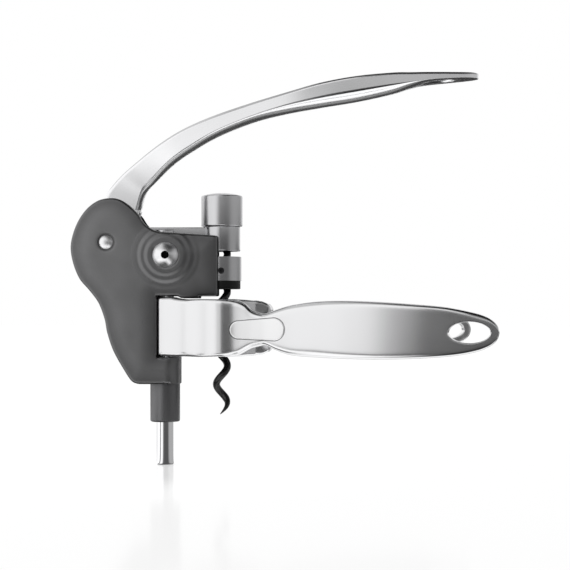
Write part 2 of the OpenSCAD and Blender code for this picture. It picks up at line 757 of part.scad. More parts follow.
// Rounded bar in the x-z plane, wider at its far end
inlay_line = concat(
    arc([inlay_span[0] + inlay_ends[0][0], inlay_ends[0][1]], inlay_ends[0][0], 270, 90, 10),
    arc([inlay_span[1] - inlay_ends[1][0], inlay_ends[1][1]], inlay_ends[1][0], 90, -90, 12)
);
inlay_floor = face_y((inlay_span[0] + inlay_span[1]) / 2) + inlay_t + 0.4;
inlay_fit = 0.1;
module opened() {
    translate([hinge_x, -hinge_y, 0])
        rotate([0, 0, -open_rest])
            translate([-hinge_x, hinge_y, 0])
                children();
}
module jaw_outline() {
    difference() {
        union() {
            intersection() {
                circle(r = jaw_r, $fn = 96);
                translate([-jaw_r - 1, -jaw_r - 1]) square([2 * jaw_r + 2, jaw_r + 0.4]);
            }
            polygon([
                [hinge_x, -hinge_y - knuckle_r + 0.35], [hinge_x + 5, -hinge_y - knuckle_r + 0.1],
                [-15.5, -13.4], [-13.5, -14.6], [-13.5, -7], [-18.5, -5.2],
                [hinge_x + 2, -hinge_y + knuckle_r - 0.6], [hinge_x, -hinge_y]
            ]);
            translate([recess_r - 2, -6.5]) square([jaw_r + 2.4 - recess_r + 2, 5.9]);
        }
        circle(r = recess_r, $fn = 96);
    }
}
module handle() {
    opened()
        color([0.82, 0.82, 0.83])
            difference() {
                union() {
                    difference() {
                        translate([0, 0, jaw_bottom])
                            linear_extrude(jaw_top - jaw_bottom)
                                jaw_outline();
                        // rounded corners of the jaw's end
                        for (s = [[jaw_top, -1], [jaw_bottom, 1]])
                            difference() {
                                block(jaw_r + 2.4 - 4, jaw_r + 4, -10, 1,
                                    s[0] - (s[1] < 0 ? 4 : 1), s[0] + (s[1] < 0 ? 1 : 4));
                                cross([jaw_r + 2.4 - 4, s[0] + s[1] * 4], 4, -11, 2);
                            }
                    }
                    post(hinge_x, -hinge_y, knuckle_r, notch_z + seat_gap,
                        notch_top - seat_gap);
                    loft([for (r = grip) grip_ring(r)]);
                }
                post(0, 0, recess_r, jaw_bottom - 1, jaw_top + 1);
                post(hinge_x, -hinge_y, hinge_r + run_gap, notch_z - 1, notch_top + 1);
                slab([for (i = [0 : 39]) let (a = 9 * i)
                    [tip_hole[0] + tip_hole[1] * cos(a), tip_hole[3] + tip_hole[2] * sin(a)]],
                    -40, 0);
                slab(inlay_line, -40, inlay_floor);
            }
}
module near_handle() {
    handle();
}
module far_handle() {
    mirror([0, 1, 0]) handle();
}
lip_h = 2;
lip_in = 1.8;
liner_top = jaw_top - 0.6;
module jaw_liner() {
    opened()
        color([0.1, 0.1, 0.1])
            intersection() {
                difference() {
                    post(0, 0, recess_r, jaw_bottom + 0.6, liner_top);
                    post(0, 0, bottle_r, jaw_bottom, liner_top - lip_h);
                    post(0, 0, bottle_r - lip_in, jaw_bottom, liner_top + 1);
                }
                block(-recess_r, recess_r, -recess_r - 1, -0.9, jaw_bottom, jaw_top);
            }
}
module near_jaw_liner() {
    jaw_liner();
}
module far_jaw_liner() {
    mirror([0, 1, 0]) jaw_liner();
}
module inlay() {
    opened()
        color([0.9, 0.9, 0.9])
            slab(inset(inlay_line, inlay_fit), inlay_floor - inlay_t, inlay_floor);
}
module near_inlay() {
    inlay();
}
module far_inlay() {
    mirror([0, 1, 0]) inlay();
}

near_housing();
far_housing();
upper_guide_bush();
lower_guide_bush();
rod_sleeve();
near_cap_screw();
far_cap_screw();
lever_pivot_pin();
pivot_washers();
near_hinge_pin();
far_hinge_pin();
guide_nut();
nut_insert();
stop_ring();
nut_set_screw();
lever_arm();
gear_sector();
sector_pins();
carriage_arm();
rack_bar();
rack_screws();
guide_rod();
spindle_bush();
top_knob();
worm_spindle();
worm();
spindle_ring();
near_handle();
near_jaw_liner();
near_inlay();
far_handle();
far_jaw_liner();
far_inlay();
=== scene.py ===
# %% [markdown]
# # A horizontal lever corkscrew, piece by piece
#
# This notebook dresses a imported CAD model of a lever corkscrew. The CAD solids give every
# piece its size and place. Here each visible piece gets the soft edges, the crowned faces
# and the finish of the real metal. All shapes are surfaces worked out with numpy, in
# millimetres, and turned into metres when they become a mesh.

# %% Load the frame
import math

import bmesh
import bpy
import numpy as np
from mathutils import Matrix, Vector
from mathutils.geometry import delaunay_2d_cdt


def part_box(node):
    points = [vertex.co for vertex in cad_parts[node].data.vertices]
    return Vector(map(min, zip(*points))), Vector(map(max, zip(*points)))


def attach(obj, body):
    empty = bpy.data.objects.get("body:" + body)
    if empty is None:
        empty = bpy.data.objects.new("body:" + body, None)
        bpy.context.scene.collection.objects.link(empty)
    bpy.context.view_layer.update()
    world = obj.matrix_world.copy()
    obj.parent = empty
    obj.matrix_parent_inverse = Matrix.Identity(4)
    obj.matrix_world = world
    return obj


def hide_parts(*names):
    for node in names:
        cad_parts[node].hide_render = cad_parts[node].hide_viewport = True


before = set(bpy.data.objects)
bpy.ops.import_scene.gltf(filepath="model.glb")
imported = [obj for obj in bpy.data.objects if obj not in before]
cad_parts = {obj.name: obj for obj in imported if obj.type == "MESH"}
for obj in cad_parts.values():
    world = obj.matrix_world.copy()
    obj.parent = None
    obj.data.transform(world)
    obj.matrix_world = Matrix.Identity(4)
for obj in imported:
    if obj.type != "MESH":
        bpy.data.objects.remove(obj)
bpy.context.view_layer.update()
# metres in a millimetre, and the distance in metres within which two corners are one
MM = 0.001
SAME_POINT = 2e-6

# %% [markdown]
# ## Small tools
#
# A table of sizes along a piece becomes a smooth curve with a Catmull-Rom spline, which
# passes through every row. A shape is then a grid of points: one row for each station, one
# column for each place round the section. The next cells hold these tools.

# %% Smooth curves and grids
def spline(rows, steps):
    """Catmull-Rom curve: each stretch is a cubic through its two rows, with slopes taken
    from the rows on either side. Returns (stretches * steps + 1) rows."""
    p = np.asarray(rows, float)
    q = np.vstack([p[:1], p, p[-1:]])
    t = np.linspace(0, 1, steps, endpoint=False)[None, :, None]
    a, b, c, d = (q[i:i + len(p) - 1, None, :] for i in range(4))
    curve = 0.5 * (2 * b + (c - a) * t + (2 * a - 5 * b + 4 * c - d) * t**2
                   + (3 * b - a - 3 * c + d) * t**3)
    return np.vstack([curve.reshape(-1, p.shape[1]), p[-1:]])


def grid_quads(rows, cols, closed):
    """Corner numbers of the quads of a grid, wrapping round its columns if closed."""
    i, j = np.meshgrid(np.arange(rows - 1), np.arange(cols if closed else cols - 1),
                       indexing="ij")
    k = (j + 1) % cols
    return np.stack([i * cols + j, i * cols + k, (i + 1) * cols + k, (i + 1) * cols + j],
                    -1).reshape(-1, 4)


def ease(v, lo, hi):
    """0 below lo, 1 above hi, and a smooth step between."""
    t = np.clip((v - lo) / (hi - lo), 0, 1)
    return t * t * (3 - 2 * t)


def round_off(distance, r):
    """How far a rounded edge falls at a distance from it, along a quarter circle of radius
    r: r - sqrt(r^2 - (r - distance)^2), and 0 further off than r."""
    return r - np.sqrt(np.clip(r**2 - (r - np.clip(distance, 0, r)) ** 2, 0, None))


def bow(v):
    """Height of a circle of radius 1 at v from its middle: sqrt(1 - v^2), and 0 beyond 1."""
    return np.sqrt(np.clip(1 - v**2, 0, 1))


def close_rows(rows, at, close):
    """The rows, which lie at some places, with closer ones put in instead over a stretch."""
    new = np.array([np.interp(close, at, column) for column in rows.T]).T
    return np.vstack([rows[at < close[0]], new, rows[at > close[-1]]])


def circle(n):
    """n angles, evenly spread over a full turn."""
    return np.linspace(0, 2 * np.pi, n, endpoint=False)


def arc(centre, r, angles):
    """Points at some angles on a circle."""
    return np.column_stack([centre[0] + r * np.cos(angles), centre[1] + r * np.sin(angles)])


def walk(corners, step, other=None):
    """Points along a closed outline: every corner, and each side cut into equal steps no
    longer than step. If there are other corners, they are cut in the same places."""
    out = []
    other = corners if other is None else other
    for i, (a, b) in enumerate(zip(corners, np.roll(corners, -1, 0))):
        n = max(1, int(np.ceil(np.linalg.norm(b - a) / step)))
        c, d = other[i], other[(i + 1) % len(other)]
        out.append(c + (d - c) * np.arange(n)[:, None] / n)
    return np.vstack(out)


print("a test curve has", len(spline([[0, 0], [1, 2], [3, 1]], 8)), "points")


# %% From arrays to a piece of the object
def clean(mesh):
    """Merges corners that are one, drops faces without an area and turns faces outwards."""
    solid = bmesh.new()
    solid.from_mesh(mesh)
    bmesh.ops.remove_doubles(solid, verts=solid.verts, dist=SAME_POINT)
    bmesh.ops.dissolve_degenerate(solid, edges=solid.edges, dist=SAME_POINT / 2)
    bmesh.ops.recalc_face_normals(solid, faces=solid.faces)
    solid.to_mesh(mesh)
    solid.free()


def placed(name, data):
    """A new object of the scene that shows a mesh, a lamp or a camera."""
    obj = bpy.data.objects.new(name, data)
    bpy.context.scene.collection.objects.link(obj)
    return obj


def piece(name, points, faces, look, body, stands_for=(), slot=None, crease=32.0, rim=None):
    """Makes a mesh from points in millimetres, cleans it, shades it smooth up to the crease
    angle in degrees, and lets it ride on a body in place of the CAD nodes that it stands
    for. The last argument holds one number for each point, a painted shade that the finish
    reads: 1 keeps the colour and 0 darkens it most."""
    p = np.asarray(points, float).reshape(-1, 3)
    mesh = bpy.data.meshes.new(name)
    mesh.from_pydata((p * MM).tolist(), [], [list(map(int, f)) for f in faces])
    # each point's painted shade, which the finish turns into a darker colour
    if rim is not None:
        mesh.attributes.new("rim", "FLOAT", "POINT").data.foreach_set("value", rim)
    clean(mesh)
    mesh.shade_smooth()
    mesh.set_sharp_from_angle(angle=math.radians(crease))
    mesh.materials.append(look)
    obj = placed(name, mesh)
    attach(obj, body)
    if stands_for:
        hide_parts(*stands_for)
    print(f"{name}: {len(mesh.vertices)} points, {len(mesh.polygons)} faces")


def joined(*parts):
    """Puts several (points, faces) pairs into one, renumbering the faces."""
    points, faces, n = [], [], 0
    for p, f in parts:
        p = np.asarray(p, float).reshape(-1, 3)
        points.append(p)
        faces += [[int(k) + n for k in g] for g in f]
        n += len(p)
    return np.vstack(points), faces


print("mesh tools ready")

# %% [markdown]
# ## Turned parts and rounded plates
#
# Knob, rod, sleeve, stop ring and screw heads are turned: a profile of radius and height
# is carried round an axis. Plates and blocks are outlines carried through their thickness,
# with each corner of the edge rounded off by a quarter circle.

# %% Turned shapes
def fillet(profile, radii, n=6):
    """Rounds the corners of an open profile. Each corner is cut back by its radius along
    both sides, and a quadratic curve through the corner joins the two cuts."""
    p = np.asarray(profile, float)
    out = [p[:1]]
    t = np.linspace(0, 1, n)[:, None]
    for i in range(1, len(p) - 1):
        r = radii[i]
        if r <= 0:
            out.append(p[i:i + 1])
            continue
        a, b = p[i - 1] - p[i], p[i + 1] - p[i]
        la, lb = np.linalg.norm(a), np.linalg.norm(b)
        a, b = p[i] + a / la * min(r, la * 0.48), p[i] + b / lb * min(r, lb * 0.48)
        out.append((1 - t) ** 2 * a + 2 * t * (1 - t) * p[i] + t**2 * b)
    out.append(p[-1:])
    return np.vstack(out)


def turned(profile, origin, axis="z", around=96):
    """A profile of (radius, distance) carried round an axis through origin."""
    r, h = np.asarray(profile, float).T
    a = circle(around)
    u, v = r[:, None] * np.cos(a), r[:, None] * np.sin(a)
    w = np.broadcast_to(h[:, None], u.shape)
    xyz = {"z": (u, v, w), "y": (u, w, -v), "-y": (u, -w, v)}[axis]
    return np.stack(xyz, -1) + np.asarray(origin, float), grid_quads(len(r), around, True)


def inset(outline, d):
    """Moves an outline inwards by d along the mean of its two edge normals. The outline
    runs clockwise, so inwards is to the right of each edge."""
    p = np.asarray(outline, float)
    u = p - np.roll(p, 1, 0)
    v = np.roll(p, -1, 0) - p
    u /= np.maximum(np.linalg.norm(u, axis=1, keepdims=True), 1e-9)
    v /= np.maximum(np.linalg.norm(v, axis=1, keepdims=True), 1e-9)
    a = np.column_stack([u[:, 1], -u[:, 0]])
    m = a + np.column_stack([v[:, 1], -v[:, 0]])
    m /= np.maximum(np.linalg.norm(m, axis=1, keepdims=True), 1e-9)
    return p + m * (d / np.maximum((m * a).sum(1), 0.4))[:, None]


def rounded_prism(outline, lo, hi, r, plane="xz", n=5, wall=0):
    """An outline carried from lo to hi. Near each end it is drawn in by r(1 - sin a) while
    it still rises by r(1 - cos a), which rounds the edge with a quarter circle. The wall
    between the rounds can carry some rings of its own, which keep its shading flat."""
    a = np.linspace(0, np.pi / 2, n)
    between = np.linspace(lo + r + 0.2, hi - r - 0.2, wall)
    drawn = np.concatenate([r * (1 - np.sin(a)), 0 * between, r * (1 - np.sin(a))[::-1]])
    level = np.concatenate([lo + r * (1 - np.cos(a)), between,
                            hi - r * (1 - np.cos(a))[::-1]])
    rings = np.stack([inset(outline, d) for d in drawn])
    h = np.broadcast_to(level[:, None], rings.shape[:2])
    order = {"xz": (rings[..., 0], h, rings[..., 1]), "xy": (rings[..., 0], rings[..., 1], h)}
    m, k = rings.shape[:2]
    faces = grid_quads(m, k, True).tolist() + [list(range(k)), list(range((m - 1) * k, m * k))]
    return np.stack(order[plane], -1), faces


print("turned and rounded tools ready")

# %% [markdown]
# ## Finishes
#
# The tool shows five metals: dark grey satin lacquer on the housing, pearl silver on lever
# and handles, a turned grey on the knob, nut and neck, bright chrome on rod and screws, and
# a black coating on the worm. Each is one Principled shader. Soft noise makes the colour
# and the roughness wander a little, and a fine noise gives the bump of cast or turned metal.

# %% Short names for shader nodes
class Graph:
    """The nodes of one shader, with short names for the few sums that this scene needs."""

    def __init__(self, tree):
        """Keeps the tree's list of nodes and its way to link two sockets."""
        self.nodes, self.link = tree.nodes, tree.links.new

    def feed(self, node, inputs):
        """Sets each input to a number or colour, or links it to another node's output."""
        for key, value in inputs.items():
            if isinstance(value, bpy.types.NodeSocket):
                self.link(value, node.inputs[key])
            else:
                node.inputs[key].default_value = value

    def node(self, kind, inputs, **settings):
        """A new node with its settings and its inputs."""
        made = self.nodes.new("ShaderNode" + kind)
        for key, value in settings.items():
            setattr(made, key, value)
        self.feed(made, inputs)
        return made

    def math(self, operation, *parts):
        """The parts taken together two by two, from the left."""
        total = parts[0]
        for part in parts[1:]:
            total = self.node("Math", {0: total, 1: part}, operation=operation).outputs[0]
        return total

    def largest(self, *parts):
        """The largest of the parts."""
        return self.math("MAXIMUM", *parts)

    def times(self, *parts):
        """The product of the parts."""
        return self.math("MULTIPLY", *parts)

    def step(self, value, lo, hi, low, high, shape="SMOOTHSTEP"):
        """A change from low to high while value goes from lo to hi."""
        return self.node("MapRange", {"Value": value, "From Min": lo, "From Max": hi,
                                      "To Min": low, "To Max": high},
                         interpolation_type=shape).outputs["Result"]

    def blend(self, share, a, b):
        """a where the share is 0 and b where it is 1."""
        return self.node("Mix", {0: share, 2: a, 3: b}, data_type="FLOAT").outputs[0]

    def noise(self, place, scale, detail):
        """Soft noise between 0 and 1."""
        return self.node("TexNoise", {"Vector": place, "Scale": scale,
                                      "Detail": detail}).outputs["Fac"]

    def vector(self, operation, place, other=(0, 0, 0), output="Vector"):
        """One step of vector arithmetic."""
        return self.node("VectorMath", {0: place, 1: other},
                         operation=operation).outputs[output]

    def xyz(self, vector):
        """The three numbers of a vector."""
        return self.node("SeparateXYZ", {0: vector}).outputs

    def texture(self, output):
        """Where a point of the surface lies."""
        return self.node("TexCoord", {}).outputs[output]


print("shader tools ready")

# %% One shader for all the metals and plastics
MOTTLE_SCALE, MOTTLE_DETAIL, GRAIN_DETAIL, GRAIN_DEPTH = 90.0, 4.0, 2.0, 0.0001


def darker_rim(g, colour, rim_shade):
    """Painted shade: the colour times a factor that goes from the darkest factor given
    to 1 as the piece's painted-shade value goes from 0 to 1.
    """
    rim = g.node("Attribute", {}, attribute_name="rim").outputs["Fac"]
    return g.node("VectorMath", {0: colour, "Scale": g.step(rim, 0, 1, rim_shade, 1, "LINEAR")},
                  operation="SCALE").outputs[0]


def grain_bump(g, place, strength, scale):
    """A fine noise, stretched by scale along the three axes, as a bump of the surface."""
    stretched = g.node("Mapping", {"Vector": place, "Scale": scale}).outputs["Vector"]
    return g.node("Bump", {"Strength": strength, "Distance": GRAIN_DEPTH,
                           "Height": g.noise(stretched, 1, GRAIN_DETAIL)}).outputs["Normal"]


def finish(name, colour, rough, metallic=1.0, mottle=0.04, grain=0.0,
           grain_scale=(2500.0, 2500.0, 2500.0), rough_spread=0.05, specular=0.5,
           rim_shade=1.0):
    """Colour and roughness are each mixed between two near values by a soft noise on the
    piece's own coordinates: colour * (1 - mottle) to colour * (1 + mottle), and
    rough - rough_spread to rough + rough_spread. A darkest factor below 1 also darkens the
    colour by the painted shade that each point of the mesh carries."""
    mat = bpy.data.materials.new(name)
    mat.use_nodes = True
    g = Graph(mat.node_tree)
    place = g.texture("Object")
    soft = g.noise(place, MOTTLE_SCALE, MOTTLE_DETAIL)
    darker, lighter = (np.clip(np.array(colour) * k, 0, 1) for k in (1 - mottle, 1 + mottle))
    base = g.node("Mix", {0: soft, 6: (*darker, 1), 7: (*lighter, 1)}, data_type="RGBA").outputs[2]
    # painted shade, read from each point of the mesh
    if rim_shade != 1:
        base = darker_rim(g, base, rim_shade)
    shader = g.nodes["Principled BSDF"]
    g.feed(shader, {"Base Color": base, "Metallic": metallic, "Specular IOR Level": specular,
                    "Roughness": g.step(soft, 0, 1, rough - rough_spread, rough + rough_spread,
                                        "LINEAR")})
    if grain:
        g.feed(shader, {"Normal": grain_bump(g, place, grain, grain_scale)})
    return mat


PEARL = dict(mottle=0.015, rough_spread=0.02)
CHROMED = dict(mottle=0.01, rough_spread=0.02, grain=0.01)
# the housing's colour falls to 0.6 of itself where painted shade lies on its face and wall
housing_grey = finish("housing satin grey", (0.27, 0.27, 0.274), 0.33, metallic=0.88,
                      mottle=0.05, grain=0.12, grain_scale=(1500.0, 1500.0, 1500.0),
                      rim_shade=0.6)
sleeve_grey = finish("sleeve satin grey", (0.15, 0.15, 0.154), 0.34, metallic=0.7, grain=0.1)
handle_silver = finish("handle pearl silver", (0.73, 0.73, 0.738), 0.20, grain=0.03, **PEARL)
lever_silver = finish("lever pearl silver", (0.82, 0.82, 0.83), 0.18, grain=0.015, **PEARL)
turned_grey = finish("turned grey", (0.60, 0.60, 0.61), 0.28, grain=0.03,
                     grain_scale=(300.0, 300.0, 9000.0), rough_spread=0.03)
neck_grey = finish("neck silver", (0.56, 0.56, 0.57), 0.22, grain=0.05, rough_spread=0.02)
chrome = finish("polished chrome", (0.86, 0.86, 0.87), 0.07, **CHROMED)
satin_chrome = finish("satin chrome", (0.84, 0.84, 0.85), 0.34, **CHROMED)
worm_black = finish("black worm coating", (0.012, 0.012, 0.012), 0.28, metallic=0.0,
                    grain=0.1, mottle=0.2)
ring_black = finish("black plastic", (0.008, 0.008, 0.008), 0.5, metallic=0.0, grain=0.2,
                    mottle=0.15, specular=0.3)
# near black with almost no sheen: painted shade, which lines the cap screw's socket recess and
# draws the inlay's joint shadow
painted_shade_black = finish("painted shade black", (0.004, 0.004, 0.004), 0.7, metallic=0.0, grain=0.2,
                      mottle=0.3, specular=0.1)
rubber_black = finish("liner rubber", (0.03, 0.03, 0.03), 0.7, metallic=0.0, grain=0.5,
                      mottle=0.15)
inlay_silver = finish("inlay pale silver", (0.86, 0.86, 0.865), 0.30, grain=0.04, **PEARL)
gear_steel = finish("sintered gear steel", (0.42, 0.42, 0.43), 0.4, grain=0.3, mottle=0.08)
bush_bronze = finish("bush bronze", (0.52, 0.37, 0.18), 0.35, grain=0.3, mottle=0.08)
dark_steel = finish("blackened steel", (0.03, 0.03, 0.032), 0.45, metallic=0.8, grain=0.2)
print("finishes:", len(bpy.data.materials))

# %% Finish the CAD nodes that stay as they are
STAYS = {
    gear_steel: ["gear_sector", "rack_bar", "sector_pins", "pivot_washers", "worm_spindle",
                 "near_hinge_pin", "far_hinge_pin"],
    bush_bronze: ["upper_guide_bush", "lower_guide_bush", "spindle_bush"],
    rubber_black: ["near_jaw_liner", "far_jaw_liner"],
    ring_black: ["nut_insert"],
    dark_steel: ["rack_screws", "nut_set_screw", "spindle_ring"],
    neck_grey: ["guide_nut"],
}
for look, names in STAYS.items():
    for name in names:
        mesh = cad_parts[name].data
        mesh.materials.clear()
        mesh.materials.append(look)
print("CAD nodes with a finish:", sum(map(len, STAYS.values())))

# %% [markdown]
# ## The top lever
#
# The lever is one long casting. Seen along its length its section is a letter D lying on
# its back: a slightly domed top, an upright flank with a crisp lower edge, and a belly that
# hangs below. The belly fades out before the tip, where only a thin plate with a hanging
# hole is left. The hole is made by splitting the middle line of the top and of the belly and
# drawing the two sides apart, so no cutting is needed.

# %% Lever: sizes along its length
PIVOT = np.array([-55.0, 41.1])
# top x z, underside x z, half width, share of the depth that the belly takes
LEVER = [
    [-1.2, 19.4, 15.6, 14.6, 9.2, 0.10],
    [0.0, 23.9, 16.4, 17.4, 9.2, 0.10],
    [6.0, 31.2, 18.7, 24.9, 9.2, 0.12],
    [13.3, 37.7, 23.1, 30.0, 10.1, 0.12],
    [24.8, 46.7, 31.5, 38.4, 11.5, 0.13],
    [36.3, 53.9, 41.0, 45.1, 12.1, 0.14],
    [50.6, 60.2, 53.8, 52.4, 12.5, 0.16],
    [67.9, 66.1, 70.5, 59.0, 12.7, 0.20],
    [85.1, 71.2, 86.5, 62.9, 13.1, 0.32],
    [102.3, 76.0, 103.5, 65.9, 13.5, 0.37],
    [119.5, 79.2, 120.8, 68.7, 13.5, 0.39],
    [136.7, 81.0, 137.6, 72.4, 12.5, 0.36],
    [146.0, 81.3, 146.5, 75.3, 11.7, 0.24],
    [154.9, 81.6, 155.0, 77.7, 10.7, 0.06],
    [168.0, 81.9, 168.0, 78.9, 8.5, 0.04],
    [174.5, 82.1, 174.5, 79.3, 6.5, 0.04],
    [177.8, 82.19, 177.8, 79.4, 3.9, 0.04],
    [178.9, 82.19, 178.9, 79.4, 1.8, 0.04],
    [179.3, 82.1, 179.3, 79.5, 0.8, 0.04],
]
# middle x of the hanging hole, and its two half lengths
LEVER_HOLE = (159.5, 8.2, 4.1)
# how much narrower the top is than the flank's foot, near the root, the round of the top's
# edges, and the round of the hole's rims
LEAN, LEVER_EDGE, LEVER_LIP = 1.7, 1.2, 0.8


def lever_rows(steps=8):
    """The table as a smooth curve, with 33 close stations over the hole, and where the
    middle of each station lies along x."""
    d = spline(LEVER, steps)
    mid = (d[:, 0] + d[:, 2]) / 2
    xc, a, _ = LEVER_HOLE
    d = close_rows(d, mid, xc - a * np.cos(np.linspace(0, np.pi, 33)))
    return d, (d[:, 0] + d[:, 2]) / 2


def lever_section(d, mid, depth):
    """Half of each ring runs from the split line of the belly out to the flank, up the
    flank and back over the top. Gives half widths y, and shares t of the depth from the
    underside to the top: belly t = share * (1 - sqrt(1 - (y / w)^2)), top t = 1. Inside the
    hole's length the split line stands at b * sqrt(1 - (x / a)^2)."""
    xc, a, b = LEVER_HOLE
    split = b * bow((mid - xc) / a)[:, None]
    w, share = d[:, 4:5], d[:, 5:6]
    edge = np.minimum(LEVER_EDGE, w * 0.4)
    y1 = split + (w - split) * np.sin(np.linspace(0, np.pi / 2, 22))[None]
    belly = share * (1 - bow(y1 / w))
    v = np.array([[0.02, 0.2, 0.4, 0.6, 0.8, 0.94, 1.0]])
    y2 = np.broadcast_to(w, (len(d), v.size))
    flank = share + (1 - edge / depth - share) * v
    q = np.linspace(0.2, 1, 5)[None] * np.pi / 2
    y3 = w - edge * (1 - np.cos(q))
    corner = 1 - edge / depth * (1 - np.sin(q))
    y4 = (w - edge) + (split - (w - edge)) * np.append(0.02, np.linspace(0.08, 1, 13))[None]
    y = np.hstack([y1, y2, y3, y4])
    t = np.hstack([belly, flank, corner, np.ones_like(y4)])
    lean = LEAN * (1 - ease(mid, 55, 118))[:, None]
    return y * (1 - lean * np.clip(t - share, 0, 1) / w), t


def lever_surface():
    """Each ring's half and its mirror, joined along the split line. Round the hole the top
    and the belly sink by a quarter circle."""
    d, mid = lever_rows()
    xc, a, b = LEVER_HOLE
    depth = np.hypot(d[:, 0] - d[:, 2], d[:, 1] - d[:, 3])[:, None]
    y, t = lever_section(d, mid, depth)
    off = (np.hypot(mid[:, None] - xc, y * a / b) / a - 1) * b
    thin_plate = (np.abs(mid[:, None] - xc) < a + 2) & (d[:, 5:6] < 0.1)
    dip = np.where(thin_plate, round_off(off, LEVER_LIP) / depth, 0)
    t = t + dip * np.where(t > 0.5, -1, 1)
    x = d[:, 2:3] + (d[:, 0:1] - d[:, 2:3]) * t + PIVOT[0]
    z = d[:, 3:4] + (d[:, 1:2] - d[:, 3:4]) * t + PIVOT[1]
    m, k = x.shape
    i = np.where(np.abs(mid - xc) <= a + 1e-9)[0][:-1]
    faces = grid_quads(m, k, False).tolist()
    faces += np.stack([i * k, i * k + k - 1, (i + 1) * k + k - 1, (i + 1) * k], 1).tolist()
    faces += [list(range(k)), list(range((m - 1) * k, m * k))]
    return joined(*((np.stack([x, side * y, z], -1), faces) for side in (1, -1)))


def hub_outline(r, far):
    """Convex hull of a circle of radius r and the far points, as a clockwise outline."""
    order = sorted(map(tuple, np.vstack([arc((0, 0), r, circle(72)), far])))

    def half(points):
        """The lower half of the hull, from left to right: a turn to the right is undone."""
        out = []
        for q in points:
            while len(out) > 1 and ((out[-1][0] - out[-2][0]) * (q[1] - out[-2][1])
                                    - (out[-1][1] - out[-2][1]) * (q[0] - out[-2][0])) <= 1e-9:
                out.pop()
            out.append(q)
        return out[:-1]

    return np.array(half(order) + half(order[::-1]))[::-1]


ear = hub_outline(11.0, [[-3.4, 15.4], [-1.4, 18.8], [-0.9, 20.4], [15.6, 15.6], [13.6, 10.6]])
ears = [rounded_prism(ear + PIVOT, lo, hi, 0.5) for lo, hi in ((-9.2, -4.9), (4.9, 9.2))]
piece("lever_casting", *joined(lever_surface(), *ears), lever_silver, "lever",
      ["lever_arm"], "silver_lever", crease=38.0)

# %% [markdown]
# ## The grip handles
#
# Each handle is one casting from its hinge knuckle to its hanging hole. The sheet is drawn
# with the handle closed, as a front and a back surface over a length and a height, and then
# swung open about its hinge. From the knuckle to the jaw the section is nearly square; past
# the jaw it becomes the soft oval of the grip.

# %% Handle: sizes along its length
# the sign of y on each side, and its name
SIDES = ((-1, "near"), (1, "far"))
# degrees that a handle stands open, and x and y of the near handle's hinge
OPEN = 13.0
HINGE = (-26.0, -8.8)
# x, front y, back y, top, bottom, squareness
HANDLE = [
    [-30.65, -8.8, -8.8, 14.9, -13.4, 26],
    [-30.3, -10.5, -7.2, 15.0, -13.5, 26],
    [-29.3, -12.1, -5.7, 15.0, -13.5, 26],
    [-27.6, -13.0, -4.7, 15.0, -13.5, 26],
    [-26.0, -13.15, -4.4, 15.0, -13.5, 26],
    [-23.0, -13.5, -4.9, 15.0, -13.6, 26],
    [-20.0, -13.9, -5.5, 14.4, -13.6, 26],
    [-17.0, -14.45, -6.1, 14.0, -13.5, 26],
    [-14.5, -15.2, -7.9, 13.8, -13.5, 26],
    [-12.0, -16.2, -11.3, 13.8, -13.5, 26],
    [-8.0, -17.9, -14.4, 13.8, -13.5, 26],
    [-4.0, -19.2, -16.0, 13.8, -13.4, 26],
    [0.0, -19.9, -16.5, 13.75, -13.3, 26],
    [3.0, -19.95, -16.2, 13.7, -13.2, 25],
    [5.0, -19.75, -15.8, 13.7, -13.15, 23],
    [7.5, -19.2, -14.6, 13.7, -12.95, 19],
    [9.5, -18.95, -12.9, 13.55, -12.75, 16],
    [12.0, -18.88, -11.7, 13.1, -12.3, 14],
    [15.0, -18.9, -10.9, 11.6, -10.8, 12],
    [18.0, -18.95, -10.6, 8.9, -9.3, 10],
    [22.0, -19.1, -10.7, 7.4, -8.3, 9],
    [25.0, -19.25, -10.9, 7.3, -8.1, 9],
    [31.0, -19.72, -11.6, 9.4, -10.7, 9],
    [38.0, -20.3, -12.3, 11.2, -12.5, 10],
    [50.0, -21.6, -13.4, 12.7, -13.3, 11],
    [64.0, -23.1, -14.8, 13.0, -13.8, 16],
    [80.0, -24.3, -16.1, 12.4, -13.9, 22],
    [96.0, -24.4, -17.0, 11.3, -13.4, 24],
    [108.0, -23.6, -17.2, 10.2, -12.6, 24],
    [117.0, -22.5, -16.9, 8.6, -11.5, 18],
    [124.0, -21.3, -16.4, 6.9, -9.9, 12],
    [127.7, -20.6, -16.1, 5.5, -8.4, 12],
    [129.4, -20.3, -16.1, 4.5, -7.4, 12],
    [130.8, -20.0, -16.0, 3.4, -6.3, 10],
    [131.8, -19.8, -16.0, 2.3, -5.2, 8],
    [132.5, -19.6, -16.1, 1.2, -4.0, 6],
    [132.9, -19.4, -16.3, -0.2, -2.6, 5],
    [133.0, -19.0, -16.8, -1.0, -1.8, 4],
]
# middle x and z of the hanging hole, and its two half lengths
TIP_HOLE = (119.8, -1.4, 9.4, 4.8)
# power that rounds the face towards its top and bottom edges, and the round of the hole
BULGE, HOLE_RIM = 1 / 2.4, 0.5


def leaf_rows(steps=6):
    """The table as a smooth curve, with 41 close stations over the hole and five more just
    outside each of its ends."""
    d = spline(HANDLE, steps)
    xc, _, a, _ = TIP_HOLE
    over = a * np.cos(np.linspace(0, np.pi, 41))
    lip = a + HOLE_RIM * np.array([1.1, 0.8, 0.5, 0.25, 0.08])
    return close_rows(d, d[:, 0], np.sort(xc + np.concatenate([over, lip, -lip])))


def hole_sink(x, z):
    """How far the sheets sink at the hole's edge, by a quarter circle of radius HOLE_RIM.
    With k the size of the ellipse through a point, k = 1 on the edge, the point's distance
    from the edge is taken along its line to the middle: (k - 1) / k of that line."""
    xc, zc, a, b = TIP_HOLE
    k = np.hypot((x - xc) / a, (z - zc) / b)
    off = (k - 1) * np.hypot(x - xc, z - zc) / np.maximum(k, 1e-6)
    return round_off(off, HOLE_RIM)


